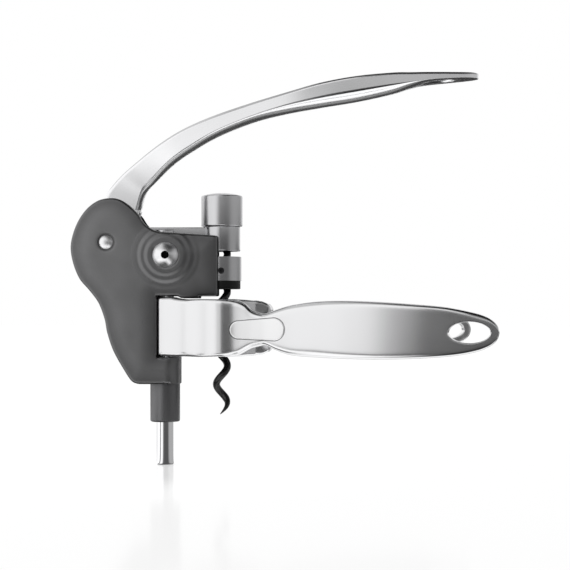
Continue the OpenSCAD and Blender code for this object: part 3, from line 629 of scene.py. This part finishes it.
def leaf(cols=26):
    """Front and back sheets over (x, z). With t from -1 to 1 over the height, each sheet
    stands off the middle by (1 - |t|^n)^BULGE of the half thickness. Both are split along
    z = middle of the hole, and inside the hole's length the two sides part as an ellipse."""
    d = leaf_rows()
    xc, zc, a, b = TIP_HOLE
    x, front, back, top, bottom, n = (d[:, k:k + 1] for k in range(6))
    mid, tall = (top + bottom) / 2, np.maximum((top - bottom) / 2, 0.05)
    seam = (front + back) / 2
    open_z = b * bow((x - xc) / a)
    u = (1 - np.cos(np.linspace(0, np.pi, cols)))[None] / 2
    parts = []
    for side in (-1, 1):
        limit = np.clip((zc + side * open_z - mid) / tall, -0.98, 0.98)
        t = side + (limit - side) * u
        z = mid + tall * t
        stand = np.clip(1 - np.abs(t) ** n, 0, 1) ** BULGE
        for face in (front, back):
            y = seam + (face - seam) * stand
            y = y + np.sign(seam - face) * np.minimum(hole_sink(x, z), np.abs(y - seam) * 0.9)
            parts.append((np.stack([x + 0 * z, y, z], -1), grid_quads(len(d), cols, False)))
    points, faces = joined(*parts)
    size, e = len(d) * cols, cols - 1
    i = np.where(np.abs(x[:, 0] - xc) <= a + 1e-9)[0][:-1]
    for f, g in ((0, size), (2 * size, 3 * size)):
        faces += np.stack([f + i * cols + e, g + i * cols + e, g + (i + 1) * cols + e,
                           f + (i + 1) * cols + e], 1).tolist()
    return points, faces


def jaw_end(seat=16.5, outer=19.75, lug_x=24.6, run=5.5, fall=4.5):
    """The half ring's end with its lug: an outline of two arcs and a rounded block, carried
    through the height, whose top and bottom drop by a quarter of an ellipse towards the
    lug's tip: drop = fall * (1 - sqrt(1 - (s / run)^2)), with s from the ellipse's start."""
    nose = fillet([[18.2, -8.6], [20.0, -7.9], [lug_x, -5.9], [lug_x, -0.6], [16.6, -0.6]],
                  [0, 1.2, 2.0, 1.4, 0], 6)
    ring = np.vstack([arc((0, 0), outer, np.radians(np.linspace(284, 334, 24))), nose,
                      arc((0, 0), seat, np.radians(np.linspace(357.5, 286, 30)))])
    p, faces = rounded_prism(ring[::-1], -13.3, 13.8, 1.2, plane="xy", n=5, wall=6)
    s = np.clip(p[..., 0] - (lug_x - run), 0, run)
    drop = fall * (1 - bow(s / run)) + 0.9 * ease(p[..., 0], 9, lug_x - 2)
    p[..., 2] -= np.sign(p[..., 2]) * drop * np.abs(p[..., 2]) / 13.5
    return p, faces


def swung(points, side):
    """The closed handle's points, turned by OPEN about the upright line of its hinge. side
    is -1 for the near handle and 1 for its mirror image."""
    p = np.asarray(points, float).reshape(-1, 3) * (1, -side, 1)
    a = math.radians(OPEN * side)
    hinge_x, hinge_y = HINGE[0], -side * HINGE[1]
    dx, dy = p[:, 0] - hinge_x, p[:, 1] - hinge_y
    return np.column_stack([hinge_x + dx * math.cos(a) - dy * math.sin(a),
                            hinge_y + dx * math.sin(a) + dy * math.cos(a), p[:, 2]])


for side, name in SIDES:
    points, faces = joined(leaf(), jaw_end())
    piece(f"{name}_handle_casting", swung(points, side), faces, handle_silver,
          f"{name}_handle_unit", [f"{name}_handle"], "silver_handle", crease=40.0)

# %% [markdown]
# ## The inlays
#
# A pale bar lies almost flush in each handle where the thumb rests. Its outline has a
# small round end towards the jaws and a larger one towards the grip, and it follows the
# handle's face.
# A dark line runs round it, which is the shadow in its joint.

# %% Inlay: outline, pad and painted joint shadow
# x, z and radius of each end
PAD = [(12.0, -0.6, 4.2), (29.1, -0.3, 5.3)]
PROUD, PAD_ROUND, PAD_DROP, PAD_WALL, JOINT_R = 0.15, 0.5, 0.45, 0.8, 0.16


def front_at(x, z):
    """Depth of the closed handle's outer face at (x, z), from the same rows as the leaf."""
    d = spline(HANDLE, 6)
    front, back, top, bottom, n = (np.interp(x, d[:, 0], d[:, k]) for k in range(1, 6))
    seam, mid, tall = (front + back) / 2, (top + bottom) / 2, (top - bottom) / 2
    stand = np.clip(1 - np.abs((z - mid) / tall) ** n, 0, 1) ** BULGE
    return seam + (front - seam) * stand


def pad_outline(grow=0.0, n=40):
    """Two arcs, joined by straight lines, with the middle line point that each one is
    drawn from."""
    (xa, za, ra), (xb, zb, rb) = PAD
    a, b = np.linspace(1.5, 0.5, n) * np.pi, np.linspace(0.5, -0.5, n) * np.pi
    ring = np.vstack([arc((xa, za), ra + grow, a), arc((xb, zb), rb + grow, b)])
    hub = np.vstack([np.tile([xa, za], (n, 1)), np.tile([xb, zb], (n, 1))])
    return walk(ring, 1.0), walk(ring, 1.0, hub)


def pad():
    """The pad's face stands proud of the handle, and its edge drops by a quarter ellipse,
    PAD_ROUND wide and PAD_DROP deep. The share f runs from the middle line to the outline."""
    edge, hub = pad_outline()
    f = np.concatenate([np.linspace(0, 0.86, 9), [0.9, 0.93, 0.96, 0.98, 0.995, 1.0, 1.0]])
    p = hub[None] + f[:, None, None] * (edge - hub)[None]
    off = np.linalg.norm(edge - hub, axis=1)[None] * (1 - f[:, None])
    drop = 1 - bow(1 - np.minimum(off / PAD_ROUND, 1))
    y = front_at(p[..., 0], p[..., 1]) - PROUD + PAD_DROP * drop
    y[-1] += PAD_WALL
    return np.stack([p[..., 0], y, p[..., 1]], -1), grid_quads(len(f), len(edge), True)


def pad_joint_shadow():
    """The joint's shadow, painted as a thin dark tube round the pad."""
    line, _ = pad_outline(0.12)
    t = circle(8)[:, None]
    out = line - pad_outline(0.02)[1][:len(line)]
    out /= np.linalg.norm(out, axis=1, keepdims=True)
    ring = line[None] + JOINT_R * np.cos(t)[..., None] * out[None]
    y = front_at(ring[..., 0], ring[..., 1]) + 0.05 + 0.12 * np.sin(t)
    tube = np.stack([ring[..., 0], y, ring[..., 1]], -1)
    return np.concatenate([tube, tube[:1]]), grid_quads(9, len(line), True)


for side, name in SIDES:
    points, faces = pad()
    piece(f"{name}_inlay_pad", swung(points, side), faces, inlay_silver,
          f"{name}_handle_unit", [f"{name}_inlay"], "inlay_silver", crease=50.0)
    points, faces = pad_joint_shadow()
    piece(f"{name}_inlay_joint_shadow", swung(points, side), faces, painted_shade_black,
          f"{name}_handle_unit", slot="black_steel")

# %% [markdown]
# ## The housing
#
# Two mirrored shells make the housing. The outer face of a shell is one sheet whose depth
# is a formula of two distances: how far a point lies from the outline, which rounds the rim
# and crowns the face, and how far it lies from the boss and from the pivot, which raises
# the soft rings and sinks the pin. The sheet's corners are spread along the outline and
# round the two centres, and joined into triangles by a Delaunay net. The hidden inner half
# of the shell is a copy of the CAD solid.

# %% Housing: outline and depth of the face
LOBE = np.array([
    [15.0, -67.7], [12.1, -66.2], [8.3, -60.5], [3.5, -51.9], [0.6, -43.3], [-0.7, -36.6],
    [-3.6, -29.0], [-7.9, -23.1], [-12.6, -17.6], [-15.6, -10.6], [-17.0, -3.0],
    [-16.0, 3.6], [-13.2, 10.5], [-8.9, 16.3], [-3.6, 20.0], [2.1, 21.1], [6.6, 20.4],
    [10.2, 18.2], [14.0, 14.9], [15.9, 12.8], [17.7, 9.9], [19.8, 7.6], [22.4, 6.0],
])
PLATE = 12.2
RIM_ROUND, CROWN, BOW = 1.1, 0.55, 0.6
WALL_BACK, CORE_FRONT = 9.5, 9.65
LEG_FRONT, LEG_BOTTOM, LEG_ROUND, NOTCH_BOTTOM = -19.9, -26.8, 7.5, -13.9
BOSS = np.array([-26.4, 34.9])
# radius and rise of each soft ring round the cap screw, the screw's seat, and the lip and
# the depth of the pin's seat
BOSS_STEPS = [(15.8, 0.12), (12.8, 0.4), (9.6, 0.4)]
CAP_SEAT, PIN_LIP, PIN_SINK = 13.2, 0.06, 1.14


def plate_outline():
    """The kidney lobe, the block over the notch, the notch itself and the leg."""
    lobe = PIVOT + spline(LOBE, 6)
    lobe[:, 1] = np.maximum(lobe[:, 1], LEG_BOTTOM + 0.02)
    block = [[-29.8, 46.1], [-3.0, 44.35], [-2.1, 44.0], [-1.7, 43.2], [-1.7, 16.3],
             [-1.95, 15.65], [-2.6, 15.4], [-10.5, 15.4], [-10.7, 14.4], [-19.0, 14.4],
             [-21.0, 15.4], [-30.7, 15.4], [-30.7, NOTCH_BOTTOM], [LEG_FRONT, NOTCH_BOTTOM],
             [LEG_FRONT, LEG_BOTTOM]]
    return walk(np.vstack([lobe, block]), 1.4)


def distance_to(line, p):
    """Least distance from each point of p to the closed outline."""
    a, b = line, np.roll(line, -1, 0)
    ab = b - a
    ap = p[:, None] - a[None]
    t = np.clip((ap * ab).sum(-1) / np.maximum((ab**2).sum(-1), 1e-9), 0, 1)
    return np.sqrt(((ap - t[..., None] * ab) ** 2).sum(-1)).min(1)


def inside(line, p):
    """Even-odd test of points against a closed outline."""
    a, b = line, np.roll(line, -1, 0)
    x, z = p[:, :1], p[:, 1:]
    straddles = (a[None, :, 1] > z) != (b[None, :, 1] > z)
    rise = np.where(b[:, 1] == a[:, 1], 1e-9, b[:, 1] - a[:, 1])
    cross_x = a[:, 0] + (z - a[:, 1]) * (b[:, 0] - a[:, 0]) / rise
    return (straddles & (x < cross_x)).sum(1) % 2 == 1


def well_inside(line, p, gap):
    """The points inside the outline that lie further than gap from it."""
    return p[inside(line, p) & (distance_to(line, p) > gap)]


def face_depth(line, p):
    """Distance of the outer face from the middle plane. The edge is a quarter circle of
    RIM_ROUND, the crown falls over the last 9 mm, a slow bow falls away left and right,
    each boss ring rises over a soft step, the pin's seat is sunk, and the leg's front
    corner follows its own round."""
    d = distance_to(line, p)
    crown = CROWN * (1 - ease(d, -3, 9))
    left, right = np.minimum(p[:, 0] + 30, 0) / 32, np.maximum(p[:, 0] + 20, 0) / 18
    y = PLATE + 0.1 - round_off(d, RIM_ROUND) - crown - BOW * left**2 - BOW * right**2
    r = np.hypot(*(p - BOSS).T)
    for radius, rise in BOSS_STEPS:
        y = y + rise * (1 - ease(r, radius - 1.3, radius + 1.1))
    y = np.where(r < 6.3, CAP_SEAT, y)
    q = np.hypot(*(p - PIVOT).T)
    y = y - PIN_LIP * (1 - ease(q, 4.2, 5.4)) - PIN_SINK * (q < 4.0)
    x0 = LEG_FRONT - LEG_ROUND
    bend = np.sqrt(np.clip(LEG_ROUND**2 - np.clip(p[:, 0] - x0, 0, LEG_ROUND) ** 2, 0, None))
    column = PLATE - LEG_ROUND + bend + 0.02
    return np.where((p[:, 1] < NOTCH_BOTTOM + 0.02) & (p[:, 0] > x0), np.minimum(y, column), y)


print("housing outline:", len(plate_outline()), "points")

# %% Housing: the net of the face
BOSS_RINGS = [6.28, 6.32, 7.2, 8.0, 8.5, 8.9, 9.3, 9.7, 10.1, 10.5, 11.0, 11.5, 11.9, 12.3, 12.7,
              13.1, 13.5, 13.9, 14.4, 14.9, 15.3, 15.7, 16.1, 16.5, 16.9, 17.6]
PIN_RINGS = [3.98, 4.02, 4.3, 4.6, 5.0, 5.4, 6.4]


def face_net():
    """Outline corners, rows of points just inside it, rings round the boss and the pin, and
    an even grid between them, joined by a constrained Delaunay net."""
    line = plate_outline()
    steps = [0.12, 0.3, 0.55, 0.85, 1.2, 1.9, 2.8]
    rows = np.vstack([inset(line, d) for d in steps])
    rows = well_inside(line, rows, 0.9 * np.repeat(steps, len(line)))
    round_both = np.vstack([arc(BOSS, r, circle(96)) for r in BOSS_RINGS]
                           + [arc(PIVOT, r, circle(48)) for r in PIN_RINGS])
    round_both = well_inside(line, round_both, 0.5)
    x, z = np.meshgrid(np.arange(-74, 0, 1.9), np.arange(-26, 64, 1.65), indexing="ij")
    x = x + 0.95 * (np.arange(x.shape[1]) % 2)
    grid = np.column_stack([x.ravel(), z.ravel()])
    far = (np.hypot(*(grid - BOSS).T) > 18.2) & (np.hypot(*(grid - PIVOT).T) > 7)
    grid = well_inside(line, grid[far], 3.4)
    x0 = LEG_FRONT - LEG_ROUND
    bend_x = x0 + LEG_ROUND * np.sin(np.linspace(0, 1.5, 12))
    bx, bz = np.meshgrid(bend_x, np.arange(LEG_BOTTOM + 0.6, NOTCH_BOTTOM, 1.2), indexing="ij")
    bend = well_inside(line, np.column_stack([bx.ravel(), bz.ravel()]), 0)
    points = np.vstack([line, rows, round_both, grid, bend])
    n = len(line)
    sides = [(i, (i + 1) % n) for i in range(n)]
    net = delaunay_2d_cdt([Vector(q) for q in points], sides, [list(range(n))], 1, 1e-5)
    flat = np.array([tuple(v) for v in net[0]])
    return line, flat, [list(f) for f in net[2]]


FACE_LINE, FACE_FLAT, FACE_TRIANGLES = face_net()
FACE_Y = face_depth(FACE_LINE, FACE_FLAT)
print("face net:", len(FACE_FLAT), "points,", len(FACE_TRIANGLES), "faces")


# %% Housing: painted shade and shells
def cad_copy(name):
    """The CAD node's corners in millimetres and its faces."""
    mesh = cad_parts[name].data
    p = np.empty(len(mesh.vertices) * 3)
    mesh.vertices.foreach_get("co", p)
    return p.reshape(-1, 3) / MM, [list(f.vertices) for f in mesh.polygons]


def painted_face_shade():
    """Painted shade on the face: how much of its colour each point keeps. It is less along
    the edge, at the foot of each boss ring, inside the boss, round the pin and towards the
    block's front."""
    shade = ease(distance_to(FACE_LINE, FACE_FLAT), 0.8, 9.0)
    r = np.hypot(*(FACE_FLAT - BOSS).T)
    for radius, _ in BOSS_STEPS:
        shade = shade * (1 - 0.6 * np.exp(-((r - radius + 0.2) / 0.8) ** 2))
    q = np.hypot(*(FACE_FLAT - PIVOT).T)
    inside_boss = 0.4 + 0.6 * ease(r, 12.8, 16.0)
    block = 1 - 0.3 * ease(FACE_FLAT[:, 0], -24, -12)
    return shade * inside_boss * block * (1 - 0.9 * np.exp(-((q - 4.1) / 0.4) ** 2))


def housing(side, name):
    """The face, a wall from its edge back to WALL_BACK from the middle, and the inner solid
    with everything beyond CORE_FRONT pressed back behind the face."""
    face = np.column_stack([FACE_FLAT[:, 0], side * FACE_Y, FACE_FLAT[:, 1]])
    edge_y = face_depth(FACE_LINE, FACE_LINE)
    front = np.column_stack([FACE_LINE[:, 0], side * edge_y, FACE_LINE[:, 1]])
    back = front.copy()
    back[:, 1] = side * np.minimum(WALL_BACK, edge_y - 0.05)
    wall = (np.stack([front, back]), grid_quads(2, len(front), True).tolist())
    core, core_faces = cad_copy(f"{name}_housing")
    core[:, 1] = side * np.minimum(side * core[:, 1], CORE_FRONT)
    points, faces = joined((face, FACE_TRIANGLES), wall, (core, core_faces))
    # painted shade: the face's own, full shade on the wall, and none on the hidden core
    rim = np.concatenate([painted_face_shade(), np.zeros(2 * len(front)), np.ones(len(core))])
    piece(f"{name}_housing_shell", points, faces, housing_grey, "frame",
          [f"{name}_housing"], "gunmetal", crease=30.0, rim=rim)


for side, name in SIDES:
    housing(side, name)

# %% [markdown]
# ## Turned pieces
#
# Knob, neck, sleeve, rod, stop ring and screw heads come from a lathe, so each one is a
# profile carried round its axis. A dome of radius r and height h is part of a ball of
# radius (r^2 + h^2) / 2h.

# %% Profiles: radius and height
def dome(r, h, base, n=14):
    """Profile of a dome from its edge to its top."""
    ball = (r * r + h * h) / (2 * h)
    x = r * np.cos(np.linspace(0, np.pi / 2, n))
    return np.column_stack([x, base + h - ball + np.sqrt(ball**2 - x**2)])


KNOB = np.vstack([[[0, 57.2]], fillet([[7.4, 57.2], [7.4, 49.2], [9.75, 49.2], [10.0, 49.5],
                                       [10.0, 63.8], [9.2, 64.05]],
                                      [0, 0.3, 0.2, 0.2, 0.7, 0]), dome(9.2, 1.25, 64.05)])
ROD = np.vstack([[[0, -66]], fillet([[3.2, -66.0], [4.2, -66.0], [4.2, 45.0], [3.6, 45.0]],
                                    [0, 0.9, 0.2, 0]), [[0, 45.0]]])
SLEEVE = fillet([[4.28, -20.8], [4.28, -45.3], [7.2, -45.3], [7.2, -26.8], [6.04, -26.8],
                 [6.04, -20.8], [4.28, -20.8]], [0, 0.3, 1.0, 0.1, 0, 0, 0])
STOP = fillet([[6.75, 22.8], [6.75, 19.2], [4.85, 19.2], [4.85, 18.8], [9.0, 18.8],
               [9.0, 22.8], [6.75, 22.8]], [0, 0, 0, 0.1, 0.6, 0.3, 0])
CAP = np.vstack([[[0, 6.7], [2.0, 6.7], [2.0, CAP_SEAT], [6.1, CAP_SEAT]],
                 dome(6.1, 3.2, 13.7, 26)[:-5], [[1.85, 16.6], [1.85, 14.2], [0, 14.2]]])
SOCKET = [[0, 14.25], [1.84, 14.25], [1.84, 16.55], [1.7, 16.5], [1.6, 14.5], [0, 14.5]]
PIN_HEAD = dome(3.4, 0.9, 11.0)
PIN = np.vstack([PIN_HEAD[::-1], [[3.3, 11.0], [3.0, 10.9], [3.0, -10.9], [3.3, -11.0]],
                 PIN_HEAD * [1, -1]])
print("profile points:", [len(line) for line in (KNOB, ROD, SLEEVE, STOP, CAP, SOCKET, PIN)])

# %% Turned pieces
ROD_X = -27.5
ON_ROD, IN_BOSS, IN_PIVOT = (ROD_X, 0, 0), (BOSS[0], 0, BOSS[1]), (PIVOT[0], 0, PIVOT[1])
# name, profile, origin, axis, finish, body, CAD node, slot
TURNED = [
    ("guide_rod_turned", ROD, ON_ROD, "z", chrome, "carriage", ["guide_rod"], "chrome"),
    ("rod_sleeve_turned", SLEEVE, ON_ROD, "z", sleeve_grey, "frame", ["rod_sleeve"],
     "gunmetal"),
    ("stop_ring_turned", STOP, (0, 0, 0), "z", ring_black, "frame", ["stop_ring"],
     "black_plastic"),
    ("near_cap_dome", CAP, IN_BOSS, "-y", satin_chrome, "frame", ["near_cap_screw"], "chrome"),
    # the socket pieces are near-black linings: painted shade in the screw's recess
    ("near_cap_socket", SOCKET, IN_BOSS, "-y", painted_shade_black, "frame", [], "black_steel"),
    ("far_cap_dome", CAP, IN_BOSS, "y", satin_chrome, "frame", ["far_cap_screw"], "chrome"),
    ("far_cap_socket", SOCKET, IN_BOSS, "y", painted_shade_black, "frame", [], "black_steel"),
    ("lever_pivot_turned", PIN, IN_PIVOT, "y", satin_chrome, "frame", ["lever_pivot_pin"],
     "chrome"),
]
piece("top_knob_turned", *turned(KNOB, (0, 0, 0), around=128), turned_grey, "carriage",
      ["top_knob"], "brushed_knob")
for name, line, origin, axis, look, body, nodes, slot in TURNED:
    piece(name, *turned(line, origin, axis), look, body, nodes, slot)

# %% [markdown]
# ## Carriage arm
#
# The arm is a rounded bar from the rack to the neck, with a round pad over the guide rod.
# The neck under the knob is turned, with a narrow groove where the knob begins.

# %% Arm, pad and neck
bar = [[-38.2, 46.4], [-38.2, 48.6], [0.0, 48.6], [0.0, 38.0], [-34.4, 38.0], [-34.4, 46.4]]
neck_line = fillet([[6.3, 42.5], [6.3, 37.1], [8.9, 37.1], [8.9, 48.7], [8.4, 49.2], [3.6, 49.2]],
                   [0, 0.3, 0.6, 0.3, 0.2, 0])
pad_line = fillet([[4.3, 38.0], [6.4, 38.0], [6.4, 47.4], [0, 47.4]], [0, 0.4, 0.5, 0])
arm = joined(rounded_prism(bar, -4.4, 4.4, 0.5), turned(neck_line, (0, 0, 0), around=128),
             turned(pad_line, ON_ROD))
piece("carriage_arm_block", *arm, neck_grey, "carriage", ["carriage_arm"], "satin_alloy",
      crease=34.0)

# %% [markdown]
# ## The worm
#
# The worm is wire wound on a helix: at height z its middle lies at the angle
# 360 (z - start) / pitch, at a fixed distance from the axis. The wire thins to a point at
# its lower end. The tube is one ring of points for each step along the helix.

# %% Worm tube
def worm_tube(outer=4.4, wire=3.5, pitch=18.0, start=-18.4, low=-41.7, high=38.95, tip=7.56,
              sides=24):
    """Each ring stands square to the wire: one axis points away from the worm's axis, the
    other is the cross product of that and the wire's direction. Over the lowest tip mm the
    thickness goes as (height / tip)^0.8, from 6 % to all of the wire's."""
    z = np.concatenate([np.linspace(low, low + 5, 60)[:-1], np.linspace(low + 5, high, 420)])
    a = 2 * np.pi * (z - start) / pitch
    r = outer - wire / 2
    middle = np.column_stack([r * np.cos(a), r * np.sin(a), z])
    out = np.column_stack([np.cos(a), np.sin(a), 0 * a])
    along = np.column_stack([-r * np.sin(a), r * np.cos(a), np.full_like(a, pitch / (2 * np.pi))])
    along /= np.linalg.norm(along, axis=1, keepdims=True)
    up = np.cross(along, out)
    thick = wire / 2 * np.minimum(1, 0.06 + 0.94 * np.minimum(1, (z - low) / tip) ** 0.8)
    t = circle(sides)
    p = middle[:, None] + thick[:, None, None] * (np.cos(t)[None, :, None] * out[:, None]
                                                  + np.sin(t)[None, :, None] * up[:, None])
    ends = [list(range(sides)), list(range((len(z) - 1) * sides, len(z) * sides))]
    return p, grid_quads(len(z), sides, True).tolist() + ends


piece("worm_wire", *worm_tube(), worm_black, "worm_unit", ["worm"], "black_coating",
      crease=60.0)

# %% [markdown]
# ## Studio
#
# The photograph is a product shot on white. Polished metal shows the room round it, so the
# room is one formula of direction: white on the left and behind, dark round the camera,
# and mid grey on the right. A soft lamp from the left lights the matt surfaces. The floor
# shows the room mirrored, and the camera sees in it a faint mirror image of the rod's end.

# %% The room, by direction
floor_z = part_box("guide_rod")[0][2]


def room(g, direction, gap_light=0.92, dark=0.12):
    """Brightness of the room in a direction (x to the right, y away from the camera, z up).
    It is the largest of several soft areas, each a product of soft steps along x, y and z.
    gap_light is what is left in a narrow gap in the white on the left."""
    x, y, z = g.xyz(direction)
    gap = g.largest(g.step(x, -0.78, -0.84, 1, gap_light), g.step(y, -0.40, -0.20, 0, 1),
                    g.step(x, -0.88, -0.93, 0, 1))
    left = g.times(g.step(x, -0.20, -0.58, 0, 1.2), gap, g.step(y, 0.30, 0.80, 1, 0.6))
    upper_left = g.times(g.step(x, -0.02, -0.32, 0, 0.95),
                         g.step(z, 0.035, 0.07, 0, 1), g.step(z, 0.085, 0.11, 1, 0))
    centre = g.step(x, 0.22, -0.10, dark, 0.125)
    right = g.step(x, 0.54, 0.94, dark, 0.46)
    high_left = g.times(g.step(x, -0.18, -0.34, 0, 1.2), g.step(z, 0.08, 0.13, 0, 1))
    higher = g.times(g.step(z, 0.06, 0.17, dark, 0.66), g.step(x, -0.14, -0.06, 0, 1),
                     g.step(z, 0.24, 0.34, 1, 0.08))
    high = g.times(g.step(z, 0.12, 0.32, 0, 1), g.step(x, 0.02, 0.15, 1, 0))
    behind = g.step(y, 0.35, 0.95, 0.10, 1)
    ceiling = g.largest(g.step(z, 0.56, 0.70, 1, 0.08), g.step(x, -0.15, -0.35, 0, 0.6))
    white = g.largest(left, upper_left, centre, right, high_left, higher, high, behind)
    return g.times(white, ceiling)


def studio_world():
    """Pure white where the camera looks, and the room for everything else."""
    world = bpy.data.worlds.new("studio")
    bpy.context.scene.world = world
    world.use_nodes = True
    g = Graph(world.node_tree)
    camera_ray = g.node("LightPath", {}).outputs["Is Camera Ray"]
    g.feed(g.nodes["Background"], {"Color": (1, 1, 1, 1), "Strength": g.blend(
        camera_ray, room(g, g.texture("Generated")), 1.0)})


studio_world()
print("world:", bpy.context.scene.world.name)


# %% The floor
# side of the square, in metres
FLOOR_SIZE = 12.0


def away(g, place, x, y):
    """Distance of the place from a point of the floor's plane."""
    return g.vector("LENGTH", g.vector("SUBTRACT", place, (x, y, floor_z)), output="Value")


def mirror_room(g, place, x, y, *settings):
    """The room as the floor shows it to a point that stands at x and y."""
    shifted = g.vector("SUBTRACT", place, (x, y, floor_z))
    return room(g, g.vector("NORMALIZE", shifted), *settings)


def floor_light(g, place, facing):
    """What reflections see in the floor: the room mirrored, as it looks from the rod close
    by and from the handles further off; a white sheet on the left in front; and a white
    patch behind the handles. facing is 0 looking straight down and 1 along the floor."""
    x, y, _ = g.xyz(place)
    mirrored = g.blend(g.step(away(g, place, -0.0275, 0), 0.30, 0.45, 0, 1),
                       mirror_room(g, place, -0.0275, 0, 0.12, 0.05),
                       mirror_room(g, place, 0.035, -0.02))
    far = g.times(mirrored, g.step(y, 0.35, 0.55, 1, 0.05), g.step(facing, 0.50, 0.75, 0.12, 1))
    sheet = g.times(g.step(facing, 0.55, 0.80, 1, 0), g.step(x, 0.095, 0.02, 0, 1.4),
                    g.step(y, -0.45, -0.30, 0, 1), g.step(y, -0.02, -0.05, 0, 1),
                    g.largest(g.step(facing, 0.20, 0.34, 0, 1),
                              g.step(x, -0.005, 0.005, 0, 1)))
    patch = g.times(g.step(facing, 0.42, 0.56, 1, 0),
                    g.step(away(g, place, 0.115, 0.09), 0.14, 0.18, 1.3, 0))
    return g.largest(far, sheet, patch)


def floor_material():
    """White acrylic mixed with a glow. Reflections see the glow alone. The camera sees it
    too, except round the rod's foot, where the acrylic mirrors the rod faintly."""
    mat = bpy.data.materials.new("white acrylic")
    mat.use_nodes = True
    g = Graph(mat.node_tree)
    base = g.nodes["Principled BSDF"]
    g.feed(base, {"Base Color": (0.9, 0.9, 0.9, 1), "Roughness": 0.12,
                  "Specular IOR Level": 0.5})
    place = g.texture("Object")
    facing = g.node("LayerWeight", {"Blend": 0.5}).outputs["Facing"]
    ray = g.node("LightPath", {}).outputs
    foot = away(g, place, -0.0275, -0.03)
    strength = g.blend(ray["Is Camera Ray"], floor_light(g, place, facing),
                       g.step(foot, 0.02, 0.12, 1.64, 1.08))
    glow = g.node("Emission", {"Color": (1, 1, 1, 1), "Strength": strength})
    share = g.node("Math", {0: ray["Is Camera Ray"], 1: g.step(foot, 0.02, 0.12, 0.30, 0.78),
                            2: g.largest(ray["Is Glossy Ray"], ray["Is Transmission Ray"])},
                   operation="MULTIPLY_ADD")
    mix = g.node("MixShader", {0: share.outputs[0], 1: base.outputs[0], 2: glow.outputs[0]})
    g.feed(g.nodes["Material Output"], {"Surface": mix.outputs[0]})
    return mat


def studio_floor(material):
    """A flat square at the height of the rod's end."""
    h = FLOOR_SIZE / 2
    mesh = bpy.data.meshes.new("studio_floor")
    mesh.from_pydata([(-h, -h, floor_z), (h, -h, floor_z), (h, h, floor_z), (-h, h, floor_z)],
                     [], [(0, 1, 2, 3)])
    mesh.materials.append(material)
    placed("studio_floor", mesh)


studio_floor(floor_material())
print("floor at", floor_z)


# %% The lamp
WIDTH, HEIGHT, RADIANCE = 0.66, 1.0, 1.1
light = bpy.data.lights.new("key", "AREA")
light.shape, light.size, light.size_y = "RECTANGLE", WIDTH, HEIGHT
# a lamp's power is pi * radiance * area
light.energy = math.pi * RADIANCE * WIDTH * HEIGHT
key = placed("key", light)
key.location = (-0.60, -0.47, 0.10)
key.rotation_euler = (Vector((0, 0, 0.02)) - key.location).to_track_quat("-Z", "Y").to_euler()
key.visible_glossy = False
print("lamp:", round(light.energy, 2), "W")

# %% [markdown]
# ## Camera
#
# The photograph was taken from 0.73 m straight in front. Its line of sight meets the object
# 30.6 mm ahead of the worm and 8.7 mm above the jaws' middle, 25 pixels below the middle
# of the picture, so the lens is shifted up by 25 / 570 of the frame. The focal length is
# 1500 pixels of a 570 pixel frame, or 94.7 mm on a 36 mm sensor.

# %% Camera
SENSOR_MM, FRAME_PX, FOCAL_PX, SHIFT_PX = 36.0, 570, 1500, 25
camera = bpy.data.cameras.new("camera")
camera.sensor_width = SENSOR_MM
camera.lens = SENSOR_MM * FOCAL_PX / FRAME_PX
camera.shift_y = SHIFT_PX / FRAME_PX
camera.clip_start, camera.clip_end = 0.01, 50
eye = placed("camera", camera)
eye.location = (0.0306, -0.7275, 0.0087)
eye.rotation_euler = (math.pi / 2, 0, 0)
bpy.context.scene.camera = eye
bpy.context.scene.view_settings.view_transform = "Standard"
print("lens:", round(camera.lens, 1), "mm")

# %% Update the scene
bpy.context.view_layer.update()
